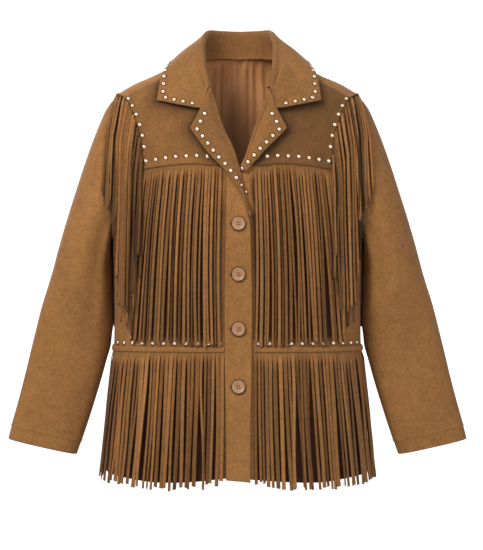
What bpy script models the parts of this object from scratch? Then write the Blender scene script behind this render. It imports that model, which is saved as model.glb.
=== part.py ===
"""Fringed buckskin jacket, filled out as worn, with every cut and sewn piece a closed solid.

Sizes in this file are millimetres and are turned into metres where a mesh is made.
X runs to the wearer's left, +Y to the back, +Z up. The origin is the middle of the neck opening.
Each sheet of leather is an open grid laid on a pattern surface and thickened outward by Solidify.
"""
import math
from typing import NamedTuple

import bpy
import numpy as np
from mathutils import Vector
from mathutils.bvhtree import BVHTree

MM = 0.001

# Leather and sewing
SUEDE = 2.0             # wall of the body, yokes, sleeves and collar
FACING = 1.8            # lapels and placket
FRINGE = 1.3            # thinner split used for the fringe
LINING = 1.0
SEAM_GAP = 0.3          # between two pieces that meet at a seam
LAID_ON = SUEDE + 0.7   # how far a piece that lies on a body panel is moved out

# Body
ARCH = 70.0             # height over which the shoulder rounds over from front to back
WAIST_Z = -485.0
HEM_Z = -705.0
UNDERARM_Z = -277.0

# Placket and buttons
PLACKET_LEFT_X = 21.5   # free edge, on the wearer's left
PLACKET_RIGHT_X = -18.5
FRONT_MEET_X = -16.0    # the two fronts meet under the placket
BUTTON_X = 2.0
BUTTON_Z = (-283.0, -365.5, -455.0, -549.5)
BUTTON_RADIUS = 11.0
BUTTON_THICKNESS = 3.6
BUTTON_SEAT = 0.4       # clear of the placket
# Radius and height up the button: foot, rim and sunk middle
BUTTON_PROFILE = ((0.0, 0.0), (8.5, 0.0), (BUTTON_RADIUS, 1.4), (10.2, BUTTON_THICKNESS),
                  (7.6, 2.6), (0.0, 2.3))

FRONT, BACK = -1.0, 1.0
RIGHT, LEFT = -1.0, 1.0
SIDE_NAME = {RIGHT: "right", LEFT: "left"}


class Curve:
    """Smooth curve through a table of values, held level beyond both ends."""

    def __init__(self, places, values):
        self.places = np.array(places, float)
        self.values = np.array(values, float)
        self.slopes = np.gradient(self.values, self.places, axis=0)

    def __call__(self, place):
        """Return the value at one place by cubic Hermite interpolation."""
        place = min(max(place, self.places[0]), self.places[-1])
        last = len(self.places) - 2
        i = min(int(np.searchsorted(self.places, place, side="right")) - 1, last)
        span = self.places[i + 1] - self.places[i]
        t = (place - self.places[i]) / span
        start = (1 + 2 * t) * (1 - t) ** 2 * self.values[i] + t * (1 - t) ** 2 * span * self.slopes[i]
        end = t * t * (3 - 2 * t) * self.values[i + 1] + t * t * (t - 1) * span * self.slopes[i + 1]
        return start + end


class BodyRow(NamedTuple):
    """One level section of the filled-out body: a superellipse with unlike front and back."""
    z: float
    half_width: float
    front: float
    back: float
    power: float


BODY_ROWS = (
    BodyRow(-730, 224, 112, 112, 2.6),
    BodyRow(-600, 214, 105, 106, 2.65),
    BodyRow(-485, 206, 97, 99, 2.75),
    BodyRow(-380, 206, 101, 98, 2.7),
    BodyRow(-277, 210, 106, 98, 2.5),
    BodyRow(-200, 214, 104, 96, 2.3),
    BodyRow(-100, 219, 93, 91, 2.2),
    BodyRow(0, 222, 72, 78, 2.1),
    BodyRow(60, 222, 62, 70, 2.0),
)
BODY = Curve([r.z for r in BODY_ROWS], [r[1:] for r in BODY_ROWS])

TIP_Z = -65.0           # shoulder tip

# Height of the shoulder ridge at a distance from the middle
RIDGE_X = (0, 40, 75, 119, 141, 178, 204, 230)
RIDGE_Z = (38, 25, 0, -22, -32.5, -49, -65, -84)
RIDGE = Curve(RIDGE_X, RIDGE_Z)


def pattern(x, z, side):
    """Turn a place on the body, seen from the front or back, into pattern coordinates.

    The first coordinate runs across, from -1 to 1 at the side seams; the second runs down from
    the shoulder ridge, negative on the front.
    """
    half_width, front, back, power = BODY(z)
    share = min(1.0, (abs(x) / half_width) ** (power / 2))
    across = math.copysign(math.asin(share) * 2 / math.pi, x)
    drop = (RIDGE(abs(x)) - z) / ARCH
    down = math.acos(min(1.0, 1 - drop)) * 2 / math.pi if drop < 1 else 1 + (drop - 1) * 2 / math.pi
    return across, side * down


def body_point(across, down):
    """Return the point of the body's inner surface at pattern coordinates."""
    depth_side = FRONT if down < 0 else BACK
    step = abs(down)
    drop = 1 - math.cos(step * math.pi / 2) if step < 1 else 1 + (step - 1) * math.pi / 2
    arch = math.sin(step * math.pi / 2) if step < 1 else 1.0
    angle = abs(across) * math.pi / 2
    z = -200.0
    for _ in range(8):
        half_width, front, back, power = BODY(z)
        x = half_width * math.sin(angle) ** (2 / power)
        z = RIDGE(x) - ARCH * drop
    depth = front if depth_side == FRONT else back
    y = depth_side * depth * max(0.0, math.cos(angle)) ** (2 / power) * arch
    return np.array((math.copysign(x, across), y, z))


def body_normal(across, down):
    """Return the outward unit normal of the body at pattern coordinates."""
    a = max(-0.985, min(0.985, across))
    da, dd = 0.006, 0.012
    along = body_point(a + da, down) - body_point(a - da, down)
    below = body_point(a, down + dd) - body_point(a, down - dd)
    normal = np.cross(along, below)
    return normal / np.linalg.norm(normal)


def laid_point(across, down, lift=0.0):
    """Return a body point moved out by a lift."""
    point = body_point(across, down)
    return point + lift * body_normal(across, down) if lift else point


def side_seam_x(z, side):
    """Return the x at which a panel stops short of the side seam by half the seam gap."""
    half_width, front, back, power = BODY(z)
    depth = front if side == FRONT else back
    return half_width * (1 - (0.5 * SEAM_GAP / depth) ** power) ** (1 / power)


ACROSS_MM = 300.0  # rough length of one unit of the across coordinate


def trace(points, side, count, smooth=True):
    """Return count + 1 evenly spaced pattern places along a line given by (x, z) points."""
    pts = [(pattern(x, z, side)[0] * ACROSS_MM, z) for x, z in points]
    pts = np.array(pts)
    run = np.concatenate(([0], np.cumsum(np.linalg.norm(np.diff(pts, axis=0), axis=1))))
    dense_run = np.linspace(0, run[-1], 160)
    if smooth and len(pts) > 2:
        curve = Curve(run, pts)
        dense = np.array([curve(r) for r in dense_run])
    else:
        dense = np.stack([np.interp(dense_run, run, pts[:, k]) for k in (0, 1)], axis=1)
    length = np.concatenate(([0], np.cumsum(np.linalg.norm(np.diff(dense, axis=0), axis=1))))
    stops = np.linspace(0, length[-1], count + 1)
    even = np.stack([np.interp(stops, length, dense[:, k]) for k in (0, 1)], axis=1)
    return np.array([place_at(across / ACROSS_MM, z, side) for across, z in even])


def place_at(across, z, side):
    """Return pattern coordinates of the point at an across coordinate and a height."""
    half_width, front, back, power = BODY(z)
    x = half_width * math.sin(min(1.0, abs(across)) * math.pi / 2) ** (2 / power)
    return np.array((across, pattern(x, z, side)[1]))


def joined(*lines):
    """Join traced lines end to end, keeping each shared end once."""
    return np.concatenate([lines[0]] + [line[1:] for line in lines[1:]])


def patch(top, bottom, left, right):
    """Fill the grid between four edges, left and right running from the top down."""
    u = np.linspace(0, 1, len(top))[None, :, None]
    w = np.linspace(0, 1, len(left))[:, None, None]
    rows = (1 - w) * top[None] + w * bottom[None]
    columns = (1 - u) * left[:, None] + u * right[:, None]
    corners = (1 - w) * ((1 - u) * top[0] + u * top[-1]) + w * ((1 - u) * bottom[0] + u * bottom[-1])
    return rows + columns - corners


def relaxed(places, rounds):
    """Even out the inside of a grid of pattern places."""
    places = places.copy()
    for _ in range(rounds):
        around = places[:-2, 1:-1] + places[2:, 1:-1] + places[1:-1, :-2] + places[1:-1, 2:]
        places[1:-1, 1:-1] = around / 4
    return places


def on_body(places, lift=0.0):
    """Turn a grid of pattern places into points; the lift may be a grid too."""
    lifts = np.broadcast_to(lift, places.shape[:-1])
    flat = [laid_point(a, d, h) for (a, d), h in zip(places.reshape(-1, 2), lifts.reshape(-1))]
    return np.array(flat).reshape(*places.shape[:-1], 3)


# ---------------------------------------------------------------- lines that the pieces share

ARMHOLE_FRONT = ((204, -65), (197, -67), (186, -73), (175.5, -92), (168, -110), (162, -129),
                 (159, -146), (156.5, -163), (155, -179), (155, -191), (158, -222), (172, -250),
                 (194, -270))
ARMHOLE_BACK = ((204, -65), (196, -73), (186, -88), (176, -110), (169, -135), (166, -160),
                (165, -179), (165, -191), (168, -222), (178, -250), (195, -270))
SHOULDER_SEAM = ((76, -14), (123, -39.3), (186, -73))
YOKE_CORNER_Z = -191.0
YOKE_LINE_FRONT = ((155, -191), (105, -184.5), (63, -183), (31, -186))
YOKE_LINE_BACK = ((165, -191), (110, -186), (60, -184), (0, -184))
NECK_BACK = ((75.5, 0), (73, -0.5), (66, 3), (52, 6.5), (30, 8), (0, 8))
# The roll lines are given as distances towards the wearer's own side of the middle
ROLL_RIGHT = ((46, -61), (34, -91), (19.4, -129), (10.2, -147.5), (-2.4, -188), (-8.7, -216),
              (-14.5, -241.5), (-19.5, -266))
ROLL_LEFT = ((46.5, -63), (39.5, -91), (30, -113.5), (18.4, -147.5), (9.7, -173.6), (3.9, -195))
YOKE_NECK_FRONT = ((76, -14.3), (75.5, -36), (69, -58))
YOKE_NECK_BELOW_ROLL = (3, -14)   # from the top of the roll line to the yoke's neck edge
YOKE_NECK_FOOT = {RIGHT: (-0.8, -184), LEFT: (7.2, -184)}
# Inner edge of each front down to where it runs straight to the hem, towards its own side
FRONT_EDGE = {
    RIGHT: ((-FRONT_MEET_X, -186.3), (-FRONT_MEET_X, -270)),
    LEFT: ((7.5, -184.3), (3.9, -195), (-4, -215), (-12, -242), (FRONT_MEET_X + SEAM_GAP, -270)),
}
PLACKET_TOP_Z = -186.5
PLACKET_RISE, PLACKET_DROP = 1.0, 2.0   # its foot slants across the hem
PLACKET_FREE_EDGE = ((0.2, PLACKET_TOP_Z), (6.4, -212), (12.5, -240), (17.5, -266),
                     (PLACKET_LEFT_X, -290))


def arm_line(side, z_from, z_to, count):
    """Return pattern places along the left armhole between two heights."""
    line = ARMHOLE_FRONT if side == FRONT else ARMHOLE_BACK
    under = (side_seam_x(UNDERARM_Z, side), UNDERARM_Z)
    dense = trace(list(line) + [under], side, 240)
    heights = np.array([body_point(a, d)[2] for a, d in dense])
    order = np.arange(len(dense))
    ends = np.interp((-z_from, -z_to), -heights, order)
    stops = np.linspace(*ends, count + 1)
    return np.stack([np.interp(stops, order, dense[:, k]) for k in (0, 1)], axis=1)


def across_flipped(places, sign):
    """Return pattern places on one side of the body."""
    return places * np.array((sign, 1))


def mirrored(points, sign):
    """Return (x, z) points on one side of the body."""
    return [(sign * x, z) for x, z in points]


def shifted(points, dx=0.0, dz=0.0):
    """Return (x, z) points moved by a small step."""
    return [(x + dx, z + dz) for x, z in points]


# ---------------------------------------------------------------- meshes and materials

def material(name, color, roughness, metallic=0.0):
    """Make a Principled material from a linear colour."""
    mat = bpy.data.materials.new(name)
    mat.use_nodes = True
    shader = mat.node_tree.nodes["Principled BSDF"]
    shader.inputs["Base Color"].default_value = (*color, 1.0)
    shader.inputs["Roughness"].default_value = roughness
    shader.inputs["Metallic"].default_value = metallic
    mat.diffuse_color = (*color, 1.0)
    return mat


SHEETS = {}


def add_mesh(name, points, faces, mat, collection, thickness=0.0):
    """Make one object from millimetre points, thickened outward when a thickness is given."""
    mesh = bpy.data.meshes.new(name)
    mesh.from_pydata([Vector(p) * MM for p in points], [], faces)
    mesh.update()
    mesh.shade_smooth()
    mesh.materials.append(mat)
    obj = bpy.data.objects.new(name, mesh)
    collection.objects.link(obj)
    if thickness:
        wall = obj.modifiers.new("Wall", "SOLIDIFY")
        wall.thickness = thickness * MM
        wall.offset = 1.0
        wall.use_quality_normals = True
    SHEETS[name] = ([Vector(p) for p in points], faces)
    return obj


def grid_faces(rows, columns, start=0, flip=False):
    """Return the quads of a grid of points."""
    faces = []
    for i in range(rows - 1):
        for j in range(columns - 1):
            a = start + i * columns + j
            quad = (a, a + columns, a + columns + 1, a + 1)
            faces.append(quad[::-1] if flip else quad)
    return faces


def add_sheet(name, grid, mat, collection, thickness, flip=False):
    """Make a sheet of leather from a grid of points."""
    rows, columns = grid.shape[:2]
    faces = grid_faces(rows, columns, flip=flip)
    return add_mesh(name, grid.reshape(-1, 3), faces, mat, collection, thickness)


# ---------------------------------------------------------------- body panels

def front_yoke(sign, mat, collection):
    """Front yoke, from the forward shoulder seam to the studded yoke line."""
    roll = ROLL_RIGHT if sign == RIGHT else ROLL_LEFT
    turn = (roll[0][0] + YOKE_NECK_BELOW_ROLL[0], roll[0][1] + YOKE_NECK_BELOW_ROLL[1])
    inner_neck = [*YOKE_NECK_FRONT, turn]
    foot = YOKE_NECK_FOOT[sign]
    lowest = [turn] + [p for p in roll if foot[1] + 4 < p[1] < turn[1] - 5] + [foot]
    seam = shifted(SHOULDER_SEAM, dz=-SEAM_GAP)
    bottom = [foot] + shifted(YOKE_LINE_FRONT, dz=SEAM_GAP)[::-1]
    top = trace(mirrored(seam, sign), FRONT, 8)
    outer = across_flipped(arm_line(FRONT, seam[-1][1], YOKE_CORNER_Z + SEAM_GAP, 9), sign)
    inner = joined(trace(mirrored(inner_neck, sign), FRONT, 3),
                   trace(mirrored(lowest, sign), FRONT, 6))
    hem = trace(mirrored(bottom, sign), FRONT, 8)
    places = patch(top, hem, inner, outer)
    return add_sheet(f"front_yoke_{SIDE_NAME[sign]}", on_body(places), mat, collection, SUEDE,
                     flip=sign == RIGHT)


def front(sign, mat, collection):
    """Front, from the yoke line to the hem; the left one has the straight underlap."""
    edge_up = FRONT_EDGE[sign]
    edge_down = [edge_up[-1], (edge_up[-1][0], HEM_Z)]
    top_line = [edge_up[0]] + list(YOKE_LINE_FRONT)[::-1]
    side_line = [(side_seam_x(z, FRONT), z) for z in np.linspace(UNDERARM_Z, HEM_Z, 9)]
    top = trace(mirrored(top_line, sign), FRONT, 9)
    outer = joined(across_flipped(arm_line(FRONT, YOKE_CORNER_Z, UNDERARM_Z, 6), sign),
                   trace(mirrored(side_line, sign), FRONT, 9))
    inner = joined(trace(mirrored(edge_up, sign), FRONT, 6),
                   trace(mirrored(edge_down, sign), FRONT, 9, smooth=False))
    hem_line = [(edge_down[-1][0], HEM_Z), (side_line[-1][0], HEM_Z)]
    hem = trace(mirrored(hem_line, sign), FRONT, 9, smooth=False)
    places = patch(top, hem, inner, outer)
    return add_sheet(f"front_{SIDE_NAME[sign]}", on_body(places), mat, collection, SUEDE,
                     flip=sign == RIGHT)


def back(mat, collection):
    """Back, in one piece from the back yoke line to the hem."""
    side_line = [(side_seam_x(z, BACK), z) for z in np.linspace(UNDERARM_Z, HEM_Z, 9)]
    half_top = trace(shifted(YOKE_LINE_BACK, dz=-SEAM_GAP), BACK, 8)
    half_hem = trace([side_line[-1], (0, HEM_Z)], BACK, 8, smooth=False)
    edge = joined(arm_line(BACK, YOKE_CORNER_Z - SEAM_GAP, UNDERARM_Z, 6), trace(side_line, BACK, 9))
    flip_across = np.array((-1, 1))
    top = joined(half_top * flip_across, half_top[::-1])
    hem = joined(half_hem * flip_across, half_hem[::-1])
    places = patch(top, hem, edge * flip_across, edge)
    return add_sheet("back", on_body(places), mat, collection, SUEDE, flip=True)


def back_yoke(mat, collection):
    """Back yoke, from the forward shoulder seams over the shoulders to the back yoke line."""
    seam = trace(SHOULDER_SEAM[::-1], FRONT, 7)
    neck_front = trace([SHOULDER_SEAM[0], (77, -6), (75.5, RIDGE(75.5))], FRONT, 1)
    neck_back = trace([(75.5, RIDGE(75.5))] + list(NECK_BACK[1:]), BACK, 5)
    half_top = joined(seam, neck_front, neck_back)
    tip = arm_line(FRONT, TIP_Z, SHOULDER_SEAM[-1][1], 3)[::-1]
    edge = joined(tip, arm_line(BACK, TIP_Z, YOKE_CORNER_Z, 7))
    half_hem = trace(YOKE_LINE_BACK, BACK, len(half_top) - 1)
    flip_across = np.array((-1, 1))
    top = joined(half_top * flip_across, half_top[::-1])
    hem = joined(half_hem * flip_across, half_hem[::-1])
    places = relaxed(patch(top, hem, edge * flip_across, edge), 14)
    return add_sheet("back_yoke", on_body(places), mat, collection, SUEDE, flip=True)


def neck_lining(mat, collection):
    """Half lining inside the back, where it shows through the neck opening."""
    top = trace([(66, 1), (40, 6), (0, 6)], BACK, 5)
    hem = trace([(140, -300), (0, -300)], BACK, 5, smooth=False)
    edge = trace([(66, 1), (110, -55), (134, -110), (140, -200), (140, -300)], BACK, 9)
    flip_across = np.array((-1, 1))
    places = patch(joined(top * flip_across, top[::-1]), joined(hem * flip_across, hem[::-1]),
                   edge * flip_across, edge)
    inset = -(LINING + 2.2)
    return add_sheet("neck_lining", on_body(places, inset), mat, collection, LINING, flip=True)


# ---------------------------------------------------------------- collar, lapels and placket

class CollarRow(NamedTuple):
    """One place round half the collar: neck seam, fold and outer edge."""
    neck: tuple     # x, y, z
    fold: tuple     # x, y, z
    edge_x: float
    edge_z: float
    edge_side: float
    edge_lift: float


COLLAR_ROWS = (
    CollarRow((0, 62.5, 10), (0, 68, 54), 0, -16, BACK, 6),
    CollarRow((33, 51.5, 10), (31, 60, 54), 50, -20, BACK, 6),
    CollarRow((57, 28, 6), (53, 38, 52), 92, -24, BACK, 6),
    CollarRow((71.5, 2, 0.5), (60, 5, 38), 114, -20.2, BACK, 6),
    CollarRow((71.5, -29, -7), (61.5, -24, 14), 124, -38, FRONT, 6),
    CollarRow((69, -64, -37), (59, -58, -17), 129, -58, FRONT, 5),
)
COLLAR_NECK_END = (50.5, -82, -68)
COLLAR_FOLD_END = (49.5, -88, -58)
NOTCH_ROOT = (57.2, -94.8)
COLLAR_TIP = (133, -82)
COLLAR_STEPS = 12
COLLAR_REST = SUEDE + 2.6    # least height of the fall over the yokes
FALL_FROM = 4                # first point across the collar that lies on the fall
COLLAR_TURN = 3.2            # half the width of the roll at the fold
COLLAR_TURN_DROP = 3.0       # how far both sides of the roll lie below its top
FALL_START = 2.4             # how far out the fall starts beyond the roll
FALL_START_SHARE = 0.05
FALL_BELLY = 6.0             # how far the middle of the fall stands out
FALL_RISE = 3.0
FALL_STATIONS = (0.35, 0.7, 1.0)


def collar_profile(neck, fold, edge):
    """Return the points across the collar: up the stand, over the fold and down the fall."""
    neck, fold, edge = np.array(neck, float), np.array(fold, float), np.array(edge, float)
    out = np.array((edge[0] - neck[0], edge[1] - neck[1], 0.0))
    out = out / max(1e-6, np.linalg.norm(out))
    up = np.array((0.0, 0.0, 1.0))
    inner = fold - COLLAR_TURN * out - COLLAR_TURN_DROP * up
    outer = fold + COLLAR_TURN * out - COLLAR_TURN_DROP * up
    low = outer + FALL_START * out + FALL_START_SHARE * (edge - outer)
    middle = 0.5 * (low + edge) + FALL_BELLY * out + FALL_RISE * up
    fall = [(1 - t) ** 2 * low + 2 * t * (1 - t) * middle + t * t * edge for t in FALL_STATIONS]
    return [neck, 0.5 * (neck + inner), inner, fold, outer] + fall


def clear_of_yokes(grid):
    """Move the fall of the collar out wherever it would lie in a yoke."""
    tree = surface_tree(("front_yoke_right", "front_yoke_left", "back_yoke"))
    for row in grid:
        for point in row[FALL_FROM:]:
            seat, normal, _, _ = tree.find_nearest(Vector(point))
            height = (Vector(point) - seat).dot(normal)
            if height < COLLAR_REST:
                point += np.array(normal) * (COLLAR_REST - height)
    return grid


def collar(mat, collection):
    """Collar, folded over at the neck, its fall lying on the shoulders and chest."""
    rows = []
    for row in COLLAR_ROWS:
        edge = laid_point(*pattern(row.edge_x, row.edge_z, row.edge_side), LAID_ON + row.edge_lift)
        rows.append(collar_profile(row.neck, row.fold, edge))
    neck, fold = np.array(COLLAR_NECK_END, float), np.array(COLLAR_FOLD_END, float)
    root = laid_point(*pattern(*NOTCH_ROOT, FRONT), LAID_ON + 3.5)
    tip = laid_point(*pattern(*COLLAR_TIP, FRONT), LAID_ON + 3)
    low = laid_point(*pattern(95, -90, FRONT), LAID_ON + 4)
    outer = fold + np.array((2.0, -3.5, -5.0))
    rows.append([neck, 0.5 * (neck + fold), fold + np.array((-1.5, 1.0, -1.0)), fold, outer, root, low, tip])
    rows = np.array(rows)
    places = np.arange(len(rows))
    curve = Curve(places, rows.reshape(len(rows), -1))
    half = np.array([curve(p) for p in np.linspace(0, places[-1], COLLAR_STEPS + 1)])
    half = half.reshape(COLLAR_STEPS + 1, -1, 3)
    other = half[::-1][:-1] * np.array((-1, 1, 1))
    grid = np.concatenate((other, half))
    return add_sheet("collar", clear_of_yokes(grid), mat, collection, SUEDE)


LAPEL_RIGHT_OUTER = ((55.5, -103.5), (76, -128), (38, -178.5), (28, -188), (8, -213), (-9.7, -238.5),
                     (-17.5, -258), (-20.5, -272))
LAPEL_LEFT_OUTER = ((54.5, -104.5), (80, -128), (70, -138.6), (35, -173.6), (27, -182), (9.5, -199))
LAPEL_RIGHT_LIFT = (5.2, 9.0, 8.0, 6.4, 5.4)
LAPEL_LEFT_LIFT = (5.0, 8.6, 7.8, 6.3, 5.2)


def lapel(sign, mat, collection):
    """Lapel, turned back along the roll line and lying on the yoke and front."""
    roll = [(p[0] + 1.0, p[1] - 5.5) for p in (ROLL_RIGHT if sign == RIGHT else ROLL_LEFT)]
    outer_line = LAPEL_RIGHT_OUTER if sign == RIGHT else LAPEL_LEFT_OUTER
    if sign == LEFT:
        roll = roll[:-1] + [(5.4, -190), (6.4, -197)]
    top = trace(mirrored([roll[0], outer_line[0]], sign), FRONT, 4, smooth=False)
    inner = trace(mirrored(roll, sign), FRONT, 12)
    outer = joined(trace(mirrored(outer_line[:2], sign), FRONT, 2, smooth=False),
                   trace(mirrored(outer_line[1:], sign), FRONT, 10))
    hem = trace(mirrored([roll[-1], outer_line[-1]], sign), FRONT, 4, smooth=False)
    lifts = LAPEL_RIGHT_LIFT if sign == RIGHT else LAPEL_LEFT_LIFT
    grid = on_body(patch(top, hem, inner, outer), np.array(lifts)[None, :])
    return add_sheet(f"lapel_{SIDE_NAME[sign]}", grid, mat, collection, FACING, flip=sign == RIGHT)


def placket(mat, collection):
    """Button placket on the right front, lapped over the left front."""
    top_corner = (PLACKET_RIGHT_X, PLACKET_TOP_Z)
    straight_from = (PLACKET_RIGHT_X, PLACKET_FREE_EDGE[-1][1])
    right_corner = (PLACKET_RIGHT_X, HEM_Z + PLACKET_RISE)
    left_corner = (PLACKET_LEFT_X, HEM_Z - PLACKET_DROP)
    top = trace([top_corner, PLACKET_FREE_EDGE[0]], FRONT, 3, smooth=False)
    right_edge = joined(trace([top_corner, straight_from], FRONT, 4, False),
                        trace([straight_from, right_corner], FRONT, 10, False))
    left_edge = joined(trace(PLACKET_FREE_EDGE, FRONT, 4),
                       trace([PLACKET_FREE_EDGE[-1], left_corner], FRONT, 10, False))
    hem = trace([right_corner, left_corner], FRONT, 3, False)
    grid = on_body(patch(top, hem, right_edge, left_edge), LAID_ON)
    return add_sheet("placket", grid, mat, collection, FACING)


def button(number, z, mat, collection):
    """Turned button with a raised rim, its face to the front."""
    seat = laid_point(*pattern(BUTTON_X, z, FRONT), LAID_ON + FACING + BUTTON_SEAT)
    mesh = bpy.data.meshes.new(f"button_{number}")
    points = [(r * MM, 0.0, h * MM) for r, h in BUTTON_PROFILE]
    mesh.from_pydata(points, [(i, i + 1) for i in range(len(points) - 1)], [])
    mesh.materials.append(mat)
    obj = bpy.data.objects.new(f"button_{number}", mesh)
    collection.objects.link(obj)
    turn = obj.modifiers.new("Turned", "SCREW")
    turn.angle = math.tau
    turn.steps = 20
    turn.render_steps = 20
    turn.use_merge_vertices = True
    turn.merge_threshold = 1e-5
    turn.use_normal_calculate = True
    obj.location = Vector(seat) * MM
    normal = Vector(body_normal(*pattern(BUTTON_X, z, FRONT)))
    obj.rotation_euler = normal.to_track_quat("Z", "Y").to_euler()
    return obj


# ---------------------------------------------------------------- sleeves

class SleeveRow(NamedTuple):
    """One section of the sleeve, from its outer edge to its inner one."""
    outer_x: float
    outer_z: float
    inner_x: float
    inner_z: float
    depth: float    # half of it, front to back
    bow: float      # how far the front and back are drawn in towards the body
    power: float
    fold: float     # depth of the long hanging fold at the front


SLEEVE_ROWS = (
    SleeveRow(219, -83, 216, -294, 73, 35, 2.0, 0),
    SleeveRow(232, -110, 215.5, -308, 71, 24, 2.05, 2),
    SleeveRow(250.5, -158, 214, -326, 69, 12, 2.1, 5),
    SleeveRow(266, -205, 213, -348, 67, 5, 2.15, 7),
    SleeveRow(283, -258, 213, -375, 65, 1, 2.2, 7),
    SleeveRow(299, -312, 212.5, -405, 62, 0, 2.25, 6),
    SleeveRow(316, -375, 213.5, -440, 55, 0, 2.3, 5),
    SleeveRow(337, -446, 216.5, -482, 42, 0, 2.4, 3),
    SleeveRow(351, -503, 225.5, -526, 34, 0, 2.5, 2),
    SleeveRow(365, -560, 243, -585, 29, 0, 2.6, 0),
    SleeveRow(379, -610, 259, -634, 26, 0, 2.6, 0),
    SleeveRow(387.5, -642.5, 271, -669, 25, 0, 2.6, 0),
)
SLEEVE_AROUND = 22
SLEEVE_ALONG = 14
ARMHOLE_MIDDLE_Z = -171.0
ARMHOLE_HALF_HEIGHT = 106.0
ARMHOLE_HALF_DEPTH = 74.0
FOLD_ANGLE = math.radians(112)
FOLD_SPREAD = math.radians(17)


def armhole_clear(angles):
    """Return how far the sleeve starts outside the armhole, most where it doubles back under it."""
    return 1.0 + 3.6 * ((1 - np.cos(angles)) / 2) ** 1.1


def armhole_loop(angles):
    """Return the points of the left armhole at angles round it, 0 at the shoulder tip."""
    under = (side_seam_x(UNDERARM_Z, FRONT), UNDERARM_Z)
    places = []
    for line, side in ((ARMHOLE_FRONT, FRONT), (ARMHOLE_BACK, BACK)):
        dense = on_body(trace(list(line) + [under], side, 150))
        turned = np.arctan2(np.abs(dense[:, 1]) / ARMHOLE_HALF_DEPTH,
                            (dense[:, 2] - ARMHOLE_MIDDLE_Z) / ARMHOLE_HALF_HEIGHT)
        places.append((np.maximum.accumulate(turned), dense))
    loop = []
    for angle in angles:
        turned, dense = places[0] if angle <= math.pi else places[1]
        near = angle if angle <= math.pi else 2 * math.pi - angle
        loop.append([np.interp(near, turned, dense[:, k]) for k in range(3)])
    return np.array(loop)


def sleeve_section(row, angles):
    """Return the points of one sleeve section, 0 at the outer edge and 90 degrees at the front."""
    section = SleeveRow(*row)
    middle = 0.5 * np.array((section.outer_x + section.inner_x, 0, section.outer_z + section.inner_z))
    reach = 0.5 * np.array((section.outer_x - section.inner_x, 0, section.outer_z - section.inner_z))
    points = []
    for angle in angles:
        c, s = math.cos(angle), math.sin(angle)
        round_c = math.copysign(abs(c) ** (2 / section.power), c)
        round_s = math.copysign(abs(s) ** (2 / section.power), s)
        trough = section.fold * math.exp(-((angle - FOLD_ANGLE) / FOLD_SPREAD) ** 2)
        depth = section.depth * round_s - trough * max(0.0, s)
        points.append(middle + reach * round_c + np.array((-section.bow * s * s, -depth, 0)))
    return np.array(points)


def sleeve_grid(sign, around, along):
    """Return the points of a sleeve, rows from the armhole to the cuff, closed round itself."""
    angles = np.arange(around) * 2 * math.pi / around
    start = armhole_loop(angles)
    start[:, 0] += armhole_clear(angles)
    curve = Curve(np.arange(len(SLEEVE_ROWS)), SLEEVE_ROWS)
    rows = [start]
    for place in np.linspace(0, len(SLEEVE_ROWS) - 1, along):
        rows.append(sleeve_section(curve(place), angles))
    return np.array(rows) * np.array((sign, 1, 1))


def sleeve(sign, mat, collection):
    """Sleeve, set into the armhole and hanging just clear of the body."""
    grid = sleeve_grid(sign, SLEEVE_AROUND, SLEEVE_ALONG)
    rows, columns = grid.shape[:2]
    faces = []
    for i in range(rows - 1):
        for j in range(columns):
            k = (j + 1) % columns
            quad = (i * columns + j, i * columns + k, (i + 1) * columns + k, (i + 1) * columns + j)
            faces.append(quad if sign == RIGHT else quad[::-1])
    return add_mesh(f"sleeve_{SIDE_NAME[sign]}", grid.reshape(-1, 3), faces, mat, collection, SUEDE)


# ---------------------------------------------------------------- fringe and waist tape

STRAND_WIDTH = 6.6
STRAND_TIP_WIDTH = 5.4
TAPE_WIDTH = 8.0
TAPE_WALL = 1.3
TAPE_LIFT = LAID_ON + FRINGE + 0.9
TAPE_STEPS_FRONT = 24
TAPE_STEPS_BACK = 46
CHEST_STRANDS = 15
BACK_STRANDS = 32
WAIST_FRONT_STRANDS = 19
WAIST_BACK_STRANDS = 38
CHEST_INNER_X = {RIGHT: 24, LEFT: 27}       # first root, beside the lapel
WAIST_INNER_X = {RIGHT: 20.5, LEFT: 24.0}   # first root, beside the placket
CHEST_TIP_X, CHEST_TIP_Z = 193.0, -481.0
BACK_TIP_X, BACK_TIP_Z = 196.0, -480.0
WAIST_TIP_Z = -705.0
WAIST_TIP_FLARE = 1.08      # the first tip hangs this much further out than its root
WAIST_TIP_DIP = 8.0         # how much lower the tips hang in the middle
DIP_HALF_WIDTH = 210.0
ROOT_DROP_FRONT, ROOT_DROP_BACK = 1.0, 1.3   # from the yoke line to the fringe roots


def mesh_fringe(name, header, strands, mat, collection, flip=False):
    """Make a fringe: a narrow header strip, cut below its last row into flat strands.

    The header is a grid with two columns for each strand; a strand is a list of edge pairs.
    """
    rows, columns = header.shape[:2]
    points = list(header.reshape(-1, 3))
    faces = grid_faces(rows, columns)
    for i, strand in enumerate(strands):
        above = ((rows - 1) * columns + 2 * i, (rows - 1) * columns + 2 * i + 1)
        for pair in strand:
            below = (len(points), len(points) + 1)
            points += list(pair)
            faces.append((above[0], below[0], below[1], above[1]))
            above = below
    if flip:
        faces = [face[::-1] for face in faces]
    return add_mesh(name, points, faces, mat, collection, FRINGE)


def spread(line, side, count):
    """Return the (across, z) of each strand's middle, evenly spaced along a line."""
    places = trace(line, side, 160)
    points = on_body(places)
    dense = np.stack([places[:, 0], points[:, 2]], axis=1)
    run = np.concatenate(([0], np.cumsum(np.linalg.norm(np.diff(points, axis=0), axis=1))))
    stops = (np.arange(count) + 0.5) * run[-1] / count
    return np.stack([np.interp(stops, run, dense[:, k]) for k in (0, 1)], axis=1)


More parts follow.
